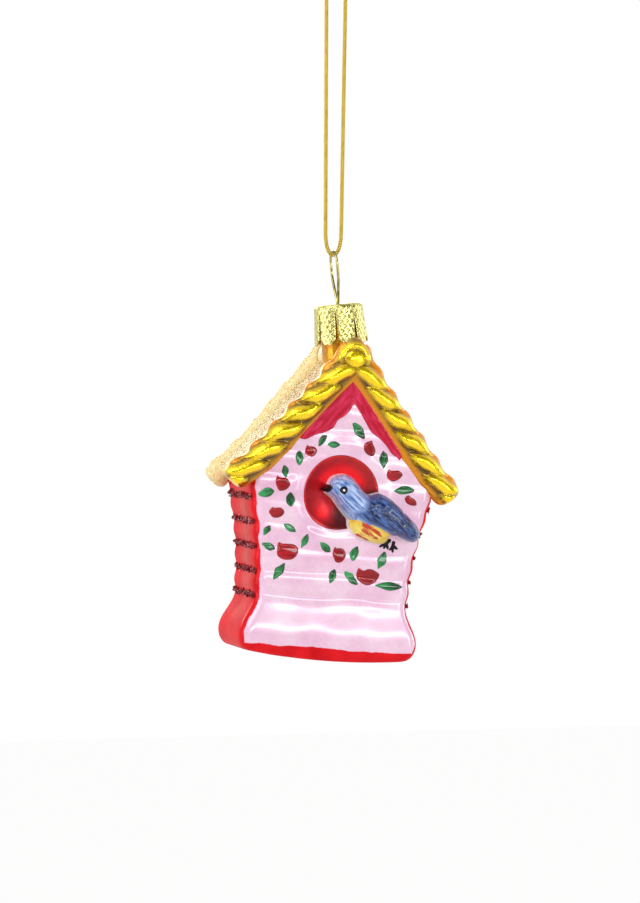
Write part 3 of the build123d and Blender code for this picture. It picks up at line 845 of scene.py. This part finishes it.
bird = laid_patch(bird_loop, 0.24, bird_face, 1.2)
bird_x, bird_y, bird_z = bird.points.T
dabs = [inside_by(stroke_loop(*stroke, 0.15), bird_x, bird_z) for stroke in BELLY_STROKES]
bird.marks.update(
    edge=np.maximum(inside_by(bird_loop, bird_x, bird_z), 0),
    wing=inside_by(wing_loop, bird_x, bird_z),
    belly=inside_by(smooth_loop(BELLY_OUTLINE, 0.2), bird_x, bird_z),
    dab=np.max(dabs, axis=0),
    at=np.stack((*turned_to(bird_x, bird_z, BIRD_START, BIRD_TILT), bird_y), -1),
)
piece("relief_bird", bird, finish("brushed_blue_and_yellow_enamel", bird_enamel))


def bare_bird(x, z):
    """The bird's face, as under a drop of paint."""
    return bird_face(x, z, np.maximum(inside_by(bird_loop, x, z), 0))


def disc_loop(middle, radius, step):
    """Outline of a hand-made dot."""
    spin = full_turn(12)
    reach = radius * (1 + 0.05 * np.sin(3 * spin + middle[0]))
    return smooth_loop(np.stack(polar(reach, spin), -1) + middle, step)


def beak_face(x, z, inside):
    """The beak slants from the dish, at its tip, up to the level of the head's middle."""
    wall = front_face(x, z)
    proud = 4.0 * ramp(x, BEAK_TIP, BEAK_TIP + BEAK_LENGTH) - 1.4
    return wall + (-DEPTHS[2] - proud - wall) * soft_edge(inside, 0.9) ** 0.5


black = finish("black_enamel", dot_enamel, "#050506", "#121013")
white = finish("white_enamel", dot_enamel, "#F4F2EE", "#FFFFFF")
eye_loop = disc_loop((-0.95, 40.58), 0.95, 0.1)
eye_dot_loop = disc_loop((-0.93, 40.6), 0.33, 0.08)
piece("beak", laid_patch(smooth_loop(BEAK_OUTLINE, 0.12), 0.12, beak_face), black)
piece("eye", laid_patch(eye_loop, 0.14, film(0.16, 0.4, bare_bird)), black)
piece("eye_dot", laid_patch(eye_dot_loop, 0.1, film(0.24, 0.2, bare_bird), 0.2), white)

# Feet: short brush strokes under the belly
FOOT_STROKES = [
    [(13.13, 29.1), (12.29, 28.2), (10.83, 27.4)], [(12.29, 28.2), (11.88, 27.1)],
    [(12.35, 28.1), (12.82, 27.05)], [(14.18, 28.7), (13.97, 27.5), (13.44, 26.8)],
    [(13.97, 27.6), (14.18, 26.35)], [(14.02, 27.8), (15.12, 27.15)],
]
foot_loops = [stroke_loop(stroke, 0.8, 0.12) for stroke in FOOT_STROKES]
piece("feet", joined([laid_patch(loop, 0.18, film(0.14, 0.3)) for loop in foot_loops]), black)

# Leaves and berries round the entrance: right, up, turn, length and width of each
LEAVES = [
    (-19.38, 38.4, 17, 4.1, 2.4), (-15.15, 44.1, 105, 3.0, 1.8), (-11.89, 47.5, 95, 3.6, 2.1),
    (-6.48, 52.3, 60, 3.5, 1.6), (-3.52, 51.5, 0, 3.1, 1.8), (-13.18, 37.2, 98, 3.6, 2.2),
    (-18.3, 29.2, 60, 3.0, 1.6), (-12.58, 30.2, -30, 3.6, 1.7), (-8.45, 27.3, 70, 3.8, 1.7),
    (-17.41, 25.2, -20, 3.6, 1.8), (-14.16, 19.4, 60, 4.8, 2.1), (2.63, 55.35, -47, 5.0, 2.3),
    (9.52, 49.0, 95, 4.6, 2.2), (15.58, 41.7, 7, 5.4, 2.1), (-3.03, 26.0, -40, 3.8, 1.8),
    (4.46, 25.1, 74, 4.1, 2.1), (11.65, 24.0, 70, 4.5, 2.3), (-0.56, 19.1, 73, 3.8, 1.9),
    (4.16, 19.0, -40, 4.7, 2.1), (14.01, 17.7, 0, 7.1, 2.1),
]
BERRIES = [
    (-15.64, 41.0, 5, 3.7, 3.5), (-9.04, 49.5, 5, 2.9, 2.7), (-16.23, 33.8, 5, 3.7, 2.6),
    (-12.68, 24.5, 5, 5.7, 4.3), (5.83, 51.3, -55, 3.7, 2.8), (12.53, 45.2, 5, 3.9, 2.8),
    (17.45, 39.2, -25, 3.5, 1.9), (0.62, 24.5, 5, 3.3, 3.8), (8.39, 19.7, 5, 5.4, 4.1),
]
LEAF_SHAPE = [
    (-0.5, 0.0), (-0.32, 0.3), (-0.05, 0.5), (0.22, 0.4), (0.45, 0.12), (0.45, -0.12),
    (0.2, -0.42), (-0.08, -0.48), (-0.34, -0.26),
]
BERRY_SHAPE = [
    (-0.36, 0.5), (-0.16, 0.4), (0.08, 0.42), (0.34, 0.34), (0.5, 0.05), (0.4, -0.3), (0.1, -0.5),
    (-0.2, -0.48), (-0.44, -0.25), (-0.5, 0.1),
]


def daubs(shape, spots, thickness, thinning=1.0):
    """Daubs of one painted shape, each turned and sized as its spot says; thin grows along one."""
    shapes = []
    for right, up, turn, length, width in spots:
        wander = dice.normal(0, 0.03, (len(shape), 2))
        local = (np.asarray(shape) + wander) * (length, width)
        spin = radians(turn)
        placed = local @ np.array(((cos(spin), sin(spin)), (-sin(spin), cos(spin)))) + (right, up)
        daub = laid_patch(smooth_loop(placed, 0.16), 0.26, film(thickness, 0.5))
        along, across = turned_to(daub.points[:, 0], daub.points[:, 2], (right, up), spin)
        thin = 0.5 - along / length * dice.uniform(0.5, 1.0) + dice.uniform(-0.3, 0.15)
        daub.marks["thin"] = thinning * np.clip(thin, 0, 1)
        daub.marks["at"] = np.stack((along + right, across + up * 3, right + 0 * along), -1)
        shapes.append(daub)
    return joined(shapes)


leaf_green = finish("brushed_green_enamel", brushed_enamel, "#033C16", "#389858", 0.5)
berry_red = finish("brushed_berry_red_enamel", brushed_enamel, "#84040F", "#CC1020", 0.6)
piece("painted_leaves", daubs(LEAF_SHAPE, LEAVES, 0.16), leaf_green)
piece("painted_berries", daubs(BERRY_SHAPE, BERRIES, 0.22, 0.6), berry_red)

# Crimson band under the gable trim, its lower edge brushed by hand
BAND_INSIDE = [
    (-10.91, 52.2), (-8.54, 53.4), (-6.09, 54.3), (-4.01, 55.6), (-3.03, 57.5), (-1.35, 58.8),
    (-0.08, 60.3), (0.9, 61.9), (2.58, 59.8), (3.76, 58.1), (5.83, 55.4), (8, 53.9), (9.87, 52.3),
    (11.35, 50.6), (12.73, 49.8), (13.71, 49.1),
]
BAND_OUTSIDE = [
    (13.6, 51.0), (9.2, 56.9), (4.5, 63.0), (0.0, 69.0), (-4.5, 63.4), (-8.4, 58.2), (-12.3, 53.2),
]


def level_face(x, z):
    """The front wall with its board lines filled, as under the band's thick paint."""
    return np.minimum(front_face(x, z), -wall_half(z, DEPTHS) - 0.1)


band_loop = smooth_loop(BAND_INSIDE + BAND_OUTSIDE, 0.3)
band = laid_patch(band_loop, 0.4, film(0.08, 0.6, level_face))
band_x, _, band_z = band.points.T
down_slope, off_slope = turned_to(np.abs(band_x), band_z, (0, TRIM_APEX), -PITCH)
band.marks["thin"] = np.full(len(band_x), 0.28)
band.marks["at"] = np.stack((down_slope, off_slope, np.sign(band_x) * 20), -1)
crimson = finish("brushed_crimson_enamel", brushed_enamel, "#B8042C", "#EE3C6E", 0.9)
piece("gable_band", band, crimson)


# Roof, trims and neck
ROPE_HALF_WIDTH = 3.6
ROPE_HALF_DEPTH = 2.25
ROPE_ROUND = 2.9
ROPE_LAY = radians(31)
LOBE_COUNT = 7
LOBE_PITCH = (TRIM_LENGTH - 1.4) / 6
LOBE_HALF_LENGTH = 6.2
LOBE_HALF_WIDTH = 2.1
LOBE_SHIFT = 0.55
LOBE_PROUD = 1.45
BOSS_RADIUS = 4.15


def slope_point(side, along, out):
    """Right and up of a place so far down a slope, and so far out from the trim's middle."""
    x = along * cos(PITCH) + out * sin(PITCH)
    return side * x, TRIM_APEX - along * sin(PITCH) + out * cos(PITCH)


def twisted_trim(side, front):
    """One slope's rope: a smooth bar with slanting strands raised along its face. Its marks are the
    strands, the painted shade in the grooves under them, the orange margins, partly painted shade,
    and the frost at its back."""
    at_front, near_side = front < 0, side * front < 0
    rounding = TRIM_LENGTH + ROPE_ROUND * np.sin(np.linspace(0, pi / 2, 18))
    down = np.concatenate((np.arange(-1.0, TRIM_LENGTH, 0.24), rounding))[:, None]
    angle = np.linspace(-pi, pi, 80, endpoint=False)
    facing, outward = np.cos(angle), np.sin(angle)
    ending = ramp(down, TRIM_LENGTH, TRIM_LENGTH + ROPE_ROUND)
    taper = np.maximum((1 - ending**3) ** (1 / 3), 0.02)
    half = ROPE_HALF_WIDTH - (0 if at_front else hill(down, 29, 10)) + 0.8 * hill(down, 0, 6)
    half = half + np.where(outward < 0, 0.85, 0) * ramp(down, 40, 32)
    scallop = (0.36 if at_front else 0.16) * np.cos(2 * pi * (down / LOBE_PITCH - 1))
    across = (half + scallop * np.clip(outward, 0, 1)) * outward * taper

    # Margin widths differ by slope and face, so that the sides turned from the light get more
    # orange painted shade
    inner = 1.5 if near_side else 2.1
    strand, under = np.zeros(across.shape), np.zeros(across.shape)
    for lobe in range(LOBE_COUNT):
        middle = (LOBE_PITCH * (lobe + 1) - 0.4, LOBE_SHIFT)
        length, width = turned_to(down, across, middle, ROPE_LAY)
        width = width + 0.3 * np.sin(length * 0.75 + 1.3 * lobe)
        bump = 1 - (length / LOBE_HALF_LENGTH) ** 2 - (width / LOBE_HALF_WIDTH) ** 2
        bump = np.clip(bump, 0, 1) ** 0.75 * ramp(across, -inner - 1.5, -inner)
        strand = np.maximum(strand, bump)
        # Painted shade on the lower side of each strand
        under = np.maximum(under, hill(width, -LOBE_HALF_WIDTH, 0.7) * hill(length, 0.6, 3.6))
    proud = LOBE_PROUD * (strand - 0.25) * np.clip(facing, 0, 1) ** 0.5
    depth = (ROPE_HALF_DEPTH * facing + proud) * taper
    curl = (1.1 - 0.3 * side) * ramp(down, 31, 42) ** 2 if at_front else 0
    x, z = slope_point(side, down, across + curl)

    outer = 1.2 if near_side else 2.6
    low_margin = 0.7 * ramp(across, -inner, -inner - 1.2) * np.clip(1 - strand * 0.9, 0, 1)
    high_margin = ramp(across, outer, outer + 1.5) * np.clip(1 - strand * 1.2, 0, 1)
    frost_from = -0.25 if at_front else 0.25
    return grid_shape(
        x,
        front * (TRIM_PLANE + depth),
        z,
        ends=True,
        strand=strand,
        groove=under * ramp(strand, 0.5, 0) * (facing > 0.1),
        margin=np.maximum(low_margin, high_margin),
        frost=ramp(facing, frost_from, frost_from - 0.3),
    )


def apex_boss(front):
    """Round boss where the two ropes meet: a knob with a smooth arch over it, and a tail that
    runs in along the ridge."""
    broad, right, up, run = (1.12, 0.1, -0.4, 6.0) if front < 0 else (1.0, 0.6, 0.0, 8.6)
    reach = np.linspace(0, 1, 44)[:, None]
    angle = full_turn(96)
    off_top = np.abs(angle - pi / 2)
    to_slope = np.minimum(BOSS_RADIUS / np.cos(np.abs(off_top - PITCH)), 5.5)
    r = reach * np.where(off_top < PITCH, to_slope, BOSS_RADIUS)
    x, z = broad * r * np.cos(angle), r * np.sin(angle)
    knob = np.clip(1 - ((x + 0.3) / 2.7) ** 2 - ((z - 0.1) / 2.4) ** 2, 0, 1) ** 0.6
    arch = hill(np.hypot(x + 0.5, z), 3.6, 0.95) * ramp(z, -2.2, 0.3)
    height = 2.3 * np.sqrt(1 - reach**3) + 0.9 * knob + 0.55 * arch
    strand = np.maximum(knob, 0.75 * arch)
    # Painted shade: a dark ring in the groove round the knob, and orange margin shade growing
    # toward the right of the boss
    groove = 0.15 * hill(strand, 0.02, 0.12) * ramp(r, 3.9, 3.4)
    margin = ramp(r, 3.3, 4.2) * np.clip(0.3 + x / 6, 0.05, 0.8)

    run_in = np.linspace(0, 1, 14)[1:, None] + 0 * angle
    shrink = 0.2 + 0.8 * np.sqrt(1 - run_in**3)
    return grid_shape(
        right + np.concatenate((x, x[-1] * shrink)),
        front * (TRIM_PLANE + np.concatenate((height, -run * run_in))),
        TRIM_APEX + up + np.concatenate((z, z[-1] * shrink)),
        strand=np.concatenate((strand, 0 * run_in)),
        groove=np.concatenate((groove, 0 * run_in)),
        margin=np.concatenate((margin, 0 * run_in + margin[-1])),
        frost=np.concatenate((0 * strand, ramp(run_in, 0.15, 0.4))),
    )


gold = finish("silvered_glass_yellow_gold_lacquer", gold_lacquer)
trims = []
for front, name in ((-1, "front_gable_trim"), (1, "back_gable_trim")):
    ropes = joined([twisted_trim(-1, front), twisted_trim(1, front), apex_boss(front)])
    trims.append(piece(name, ropes, gold))


def roof_slabs():
    """Both roof slopes as one bent slab with rounded eaves, between the trims."""
    thick, middle = (ROOF_OUT + ROOF_IN) / 2, (ROOF_OUT - ROOF_IN) / 2
    end = TRIM_LENGTH - thick
    eave = np.linspace(pi / 2, -pi / 2, 13)[1:-1]
    down = np.linspace(0, end, 90)
    right = [(0, RIDGE_HEIGHT)]
    right += [slope_point(1, s, ROOF_OUT) for s in down[1:]]
    right += [slope_point(1, end + thick * cos(a), middle + thick * sin(a)) for a in eave]
    right += [slope_point(1, s, -ROOF_IN) for s in down[::-1] if s > ROOF_IN * tan(PITCH)]
    right = np.array(right + [(0, TRIM_APEX - ROOF_IN / cos(PITCH))])
    x, z = np.concatenate((right, right[::-1][1:-1] * (-1, 1))).T
    deep = np.linspace(-ROOF_HALF_DEPTH, ROOF_HALF_DEPTH, 60)[:, None]
    return grid_shape(x, deep, z, ends=True)


glue = finish("dried_glue_over_yellow_lacquer", glue_coat)
piece("roof_slopes", roof_slabs(), glue, crease=50)


def neck_tube():
    """The neck, turned from its outline: a thicker foot in the roof, rounded rim and bore."""
    rim, bore = NECK_HEIGHT - NECK_LIP, NECK_RADIUS - 2 * NECK_LIP
    outline = [(NECK_RADIUS + 0.1, z) for z in np.linspace(NECK_FOOT, 3.0, 24)]
    outline += [(NECK_RADIUS, z) for z in np.linspace(3.4, rim, 12)]
    for turn in np.linspace(0, pi, 11):
        outline.append((NECK_RADIUS - NECK_LIP * (1 - cos(turn)), rim + NECK_LIP * sin(turn)))
    outline += [(bore, z) for z in np.linspace(NECK_HEIGHT - 0.8, NECK_FOOT, 20)]
    reach, up = np.array(outline).T[:, :, None]
    return grid_shape(*polar(reach, full_turn(96)), up)


def neck_fillet():
    """Small hollow fillet of glass where the neck stands on both slopes of the roof."""
    share = np.linspace(0, 1, 16)[:, None]
    x, y = polar(NECK_RADIUS + 0.05 + NECK_FILLET * share, full_turn(96))
    right, _, up = NECK_AXES @ HOUSE_AXES.T
    slopes = [side * tan(PITCH) for side in (-1, 1)]
    roof = [-x * (right[2] + s * right[0]) / (up[2] + s * up[0]) for s in slopes]
    hollow = NECK_FILLET * (1 - np.sqrt(1 - (1 - share) ** 2)) - 0.1 * share
    return grid_shape(x, y, np.min(roof, axis=0) + hollow)


orange = finish("silvered_glass_orange_lacquer", orange_lacquer)
piece("neck", neck_tube(), orange, place=NECK)
piece("neck_fillet", neck_fillet(), orange, place=NECK)


# Cap: a crinkled crown of slit, pointed tabs
CAP_TOP = 10.95
CAP_HEIGHT = 9.6
CAP_RADIUS = 5.6
CAP_SPLAY = 0.6
CAP_HOLE = 1.15
CAP_ROUND = 0.5
CAP_TABS = 8
CAP_BOTTOM = CAP_TOP - CAP_HEIGHT
SLIT_TOP = CAP_TOP - 2.0
TAB_POINTS = 45
CRINKLE_HEIGHT = 0.13
SHEET_THICKNESS = 0.3


def crinkle(angle, z):
    """Stamped crinkle of the cap's sheet, 0 to 1: wavy crossing ridges, 1.3 mm apart."""
    wave = 27 * angle / (2 * pi) + 0.18 * np.sin(2 * pi * z / 1.2)
    rise = z / 2.3
    first = np.abs(np.sin(pi * (wave + rise)))
    second = np.abs(np.sin(pi * (wave - rise)))
    return 1 - np.minimum(first, second) ** 0.8


def crown_cap():
    """Top disc with its hole, rolled shoulder, and eight tabs that spring a little apart."""
    shapes = []
    half_tab = pi / CAP_TABS
    share = np.linspace(-1, 1, TAB_POINTS)
    edge = CAP_RADIUS - CAP_ROUND
    top = [(r, CAP_TOP) for r in np.linspace(CAP_HOLE, edge - 0.05, 26)]
    for turn in np.linspace(0, pi / 2, 7)[:-1]:
        top.append((edge + CAP_ROUND * sin(turn), CAP_TOP - CAP_ROUND * (1 - cos(turn))))
    skirt = np.linspace(CAP_TOP - CAP_ROUND, CAP_BOTTOM, 74)
    for tab in range(CAP_TABS):
        middle = 2 * half_tab * tab
        spring = dice.uniform(0.0, 0.3)
        rows, crests = [], []
        for reach, z in top:
            angle = middle + share * half_tab
            rows.append((*polar(reach, angle), z))
            crests.append(0.4 + 0.2 * np.sin(9 * angle) ** 2)
        for z in skirt:
            down = (CAP_TOP - z) / CAP_HEIGHT
            reach = CAP_RADIUS + CAP_SPLAY * down + spring * max(0.0, down - 0.25) ** 1.5
            cut, faded = 0, 1.0
            if z <= SLIT_TOP:
                cut = max(0.12 + 0.05 * (SLIT_TOP - z), 1.7 - (z - CAP_BOTTOM)) / reach
                faded = np.clip((1 - np.abs(share)) * 8, 0.2, 1)
            angle = middle + share * (half_tab - cut)
            crest = crinkle(angle, z)
            rows.append((*polar(reach + CRINKLE_HEIGHT * crest * faded, angle), z))
            crests.append(crest)
        x, y, z = (np.array(values) for values in zip(*rows))
        shapes.append(grid_shape(x, y, z[:, None], closed=False, crest=np.array(crests)))
    points, faces, marks = joined(shapes)
    places = np.round(points, 4)
    _, first, welded = np.unique(places, axis=0, return_index=True, return_inverse=True)
    faces = welded.reshape(-1)[np.array(faces)].tolist()
    return Shape(points[first], faces, {"crest": marks["crest"][first]})


brass = finish("stamped_pale_gold_brass_sheet", stamped_brass)
cap = piece("crown_cap", crown_cap(), brass, "crown_cap", NECK, crease=60)
sheet = cap.modifiers.new("sheet", "SOLIDIFY")
sheet.thickness = SHEET_THICKNESS * MM
sheet.offset = -1
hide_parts("cap")

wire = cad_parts["hanger_wire"]
wire.data.materials.clear()
wire.data.materials.append(finish("drawn_gold_plated_brass_wire", drawn_wire))


# Glitter
COAT_HALF_DEPTH = 10.2
COAT_CLEAR_OF_NECK = 1.15
BEAD_RADIUS = 0.42
LINE_MARGIN = 1.7
ROOF_FLAKES = 9000
FROST_FLAKES = (1500, 4500)
LINE_FLAKES = 190


def flakes(middles, normals, tones, sizes, tilt):
    """Six-sided flat flakes at these places, each sized and tilted off its face by chance."""
    count = len(middles)
    reach = dice.uniform(*sizes, (count, 1, 1))
    lean = unit(normals + dice.normal(0, tilt, (count, 3)))
    first = unit(np.cross(lean, dice.normal(0, 1, (count, 3))))
    second = np.cross(lean, first)
    ring = circle(np.arange(6)[None] * pi / 3, first[:, None], second[:, None])
    points = (middles[:, None] + reach * ring).reshape(-1, 3)
    faces = np.arange(count * 6).reshape(-1, 6).tolist()
    return Shape(points, faces, {"tone": np.repeat(np.clip(tones, 0, 1), 6)})


def roof_flakes(side):
    """A close coat of flakes on one slope, round the neck and clear of the trims."""
    along = dice.uniform(-1.0, TRIM_LENGTH - 0.9, ROOF_FLAKES)
    deep = dice.uniform(-COAT_HALF_DEPTH, COAT_HALF_DEPTH, ROOF_FLAKES)
    x, z = slope_point(side, along, ROOF_OUT + dice.uniform(0.03, 0.14, ROOF_FLAKES))
    middles = np.stack((x, deep, z), -1)
    from_neck = (HOUSE[0] + middles @ HOUSE[1] - RIDGE) @ NECK_AXES.T
    clear = np.hypot(from_neck[:, 0], from_neck[:, 1]) > NECK_RADIUS + COAT_CLEAR_OF_NECK
    middles = middles[clear & (np.sign(x) == side)]
    normal = np.array((side * sin(PITCH), 0, cos(PITCH)))
    # Tones are darker tan toward the apex and the front trim and pale yellow down the slope and
    # toward the back; the tan beside the front trim is painted shade
    fall = (TRIM_APEX - middles[:, 2]) / (TRIM_LENGTH * sin(PITCH))
    tones = 0.85 - 0.75 * fall - middles[:, 1] / 30 + dice.normal(0, 0.26, len(middles))
    return flakes(middles, normal, tones, (0.13, 0.26), 0.12)


def frost_flakes(trim, count):
    """Flakes of the same glitter on the frosted back of a trim, as points of the row frame."""
    places = np.array([spot.co[:] for spot in trim.data.vertices]) / MM
    normals = np.array([spot.normal[:] for spot in trim.data.vertices])
    frost = np.array([mark.value for mark in trim.data.attributes["frost"].data])
    chosen = dice.choice(np.flatnonzero(frost > 0.7), count)
    normals = normals[chosen]
    middles = places[chosen] + 0.05 * normals + dice.normal(0, 0.06, (count, 3))
    tones = 0.35 + dice.normal(0, 0.2, count)
    return flakes(middles, normals, tones, (0.13, 0.24), 0.14)


def line_grains(side):
    """Glue beads along the board lines of a side wall, with shards of dark red glitter in them."""
    shapes = []
    for line in BOARD_LINES:
        half = float(wall_half(line, DEPTHS)) - LINE_MARGIN
        deep = np.arange(-half, half, 0.16)
        height = line + 0.16 * np.sin(deep * 2.1 + line) + 0.12 * np.sin(deep * 4.7)
        bead = np.stack((side * (wall_half(height, WIDTHS) + 0.12), deep, height), -1)
        ends = np.clip((half - np.abs(deep)) / 0.5, 0.15, 1) ** 0.5
        radius = (BEAD_RADIUS + 0.08 * np.sin(deep * 5.3)) * ends
        glue_bead = tube(bead, radius, 10, deep, 0.0)
        shapes.append(glue_bead._replace(marks={"tone": np.full(len(glue_bead.points), 0.1)}))
        at_deep = dice.uniform(-half, half, LINE_FLAKES)
        rise = dice.normal(0, 0.33, LINE_FLAKES) + 0.16 * np.sin(at_deep * 2.1 + line)
        out = wall_half(line + rise, WIDTHS) + 0.5 - np.abs(rise) * 0.35
        middles = np.stack((side * out, at_deep, line + rise), -1)
        tones = dice.uniform(0, 1, LINE_FLAKES) ** 2.2
        shapes.append(flakes(middles, np.array((side, 0, 0)), tones, (0.2, 0.42), 0.6))
    return joined(shapes)


PALE_TONES = ("#FFF4C0", "#FBDC9C", "#DDA88A")
RED_TONES = ("#5C0610", "#A81020", "#E88890")
pale_flakes = finish("clear_gold_glitter_film", glitter_film, PALE_TONES, 0.0, 0.4)
red_flakes = finish("dark_red_glitter_film", glitter_film, RED_TONES, 0.2, 0.3)
for side, name in ((-1, "roof_glitter_left"), (1, "roof_glitter_right")):
    coat = piece(name + "_flakes", roof_flakes(side), pale_flakes)
    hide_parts(name)
for trim, count in zip(trims, FROST_FLAKES):
    name = trim.name.replace("trim", "frost")
    piece(name, frost_flakes(trim, count), pale_flakes, place=ROW)
for side, name in ((-1, "glitter_lines_left"), (1, "glitter_lines_right")):
    grains = piece(name + "_grains", line_grains(side), red_flakes, crease=30)
    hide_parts(name)


# Studio: white to the eye; in mirrors a white tent with a darker opening in front, and strip lamps
LAMP_MIDDLE = Vector((0, 0, -0.13))
LAMP_DISTANCE = 0.9
FLOOR_HALF, FLOOR_LEVEL = 4.0, -0.6
# Azimuth and height in degrees, width and height in metres, and watts of each lamp
LAMPS = {
    "upper_strip": (8, 8.5, (1.0, 0.075), 2.6),
    "left_box": (-50, 42, (0.6, 0.6), 3.3),
    "left_fill": (-85, 8, (0.5, 0.5), 2.4),
    "right_box": (33, 6, (0.16, 0.5), 1.1),
    "right_fill": (95, 8, (0.4, 0.4), 1.2),
    "back_strip": (180, 14, (1.1, 0.1), 1.7),
    "back_box": (180, 28, (0.8, 0.3), 2.4),
}


def seen_rays(tree):
    """1 for rays from the eye, and 1 for rays by way of a mirror or glass."""
    to_eye = node(tree, "LightPath", give="Is Camera Ray")
    rays = to_eye.node.outputs
    return to_eye, node(tree, "Math", rays["Is Glossy Ray"], rays["Is Transmission Ray"])


world = bpy.data.worlds.new("light_tent")
bpy.context.scene.world = world
world.use_nodes = True
tent = world.node_tree
to_eye, mirrored = seen_rays(tent)
toward_back = node(tent, "SeparateXYZ", node(tent, "TexCoord", give="Generated"), give="Y")
opening = node(tent, "MapRange", toward_back, -0.05, -0.5)
tent_light = node(tent, "MapRange", opening, 0, 1, 1.0, 0.26)
soft_light = node(tent, "MapRange", opening, 0, 1, 0.5, 0.4)
seen_light = node(tent, "Mix", mirrored, soft_light, tent_light)
strength = node(tent, "Mix", to_eye, seen_light, 1.0)
node(tent, tent.nodes["Background"], {"Color": "#FFFFFF", "Strength": strength})

for name, (azimuth, height, size, watts) in LAMPS.items():
    lamp = bpy.data.lights.new(name, "AREA")
    lamp.shape = "RECTANGLE"
    lamp.size, lamp.size_y = size
    lamp.energy = watts
    softbox = stand(name, lamp, LAMP_MIDDLE, azimuth, height, LAMP_DISTANCE)
    softbox.visible_camera = False

# White paper floor, dull, which glows to the eye and in mirrors so that it runs into the white
paper = bpy.data.materials.new("white_paper_floor")
paper.use_nodes = True
tree = paper.node_tree
share = node(tree, "MapRange", node(tree, "Math", *seen_rays(tree)), 0, 1, 0.0, 0.8)
dull = node(tree, "BsdfDiffuse", "#F2F1EE")
glow = node(tree, "Emission", "#FFFFFF", 1.12)
mixed = node(tree, "MixShader", share, dull, glow)
node(tree, tree.nodes["Material Output"], {"Surface": mixed})
floor_mesh = bpy.data.meshes.new("floor")
corners = [(-1, -1), (1, -1), (1, 1), (-1, 1)]
corners = [(x * FLOOR_HALF, y * FLOOR_HALF, FLOOR_LEVEL) for x, y in corners]
floor_mesh.from_pydata(corners, [], [(0, 1, 2, 3)])
floor_mesh.materials.append(paper)
floor = bpy.data.objects.new("floor", floor_mesh)
bpy.context.scene.collection.objects.link(floor)

bpy.context.scene.view_settings.view_transform = "Standard"
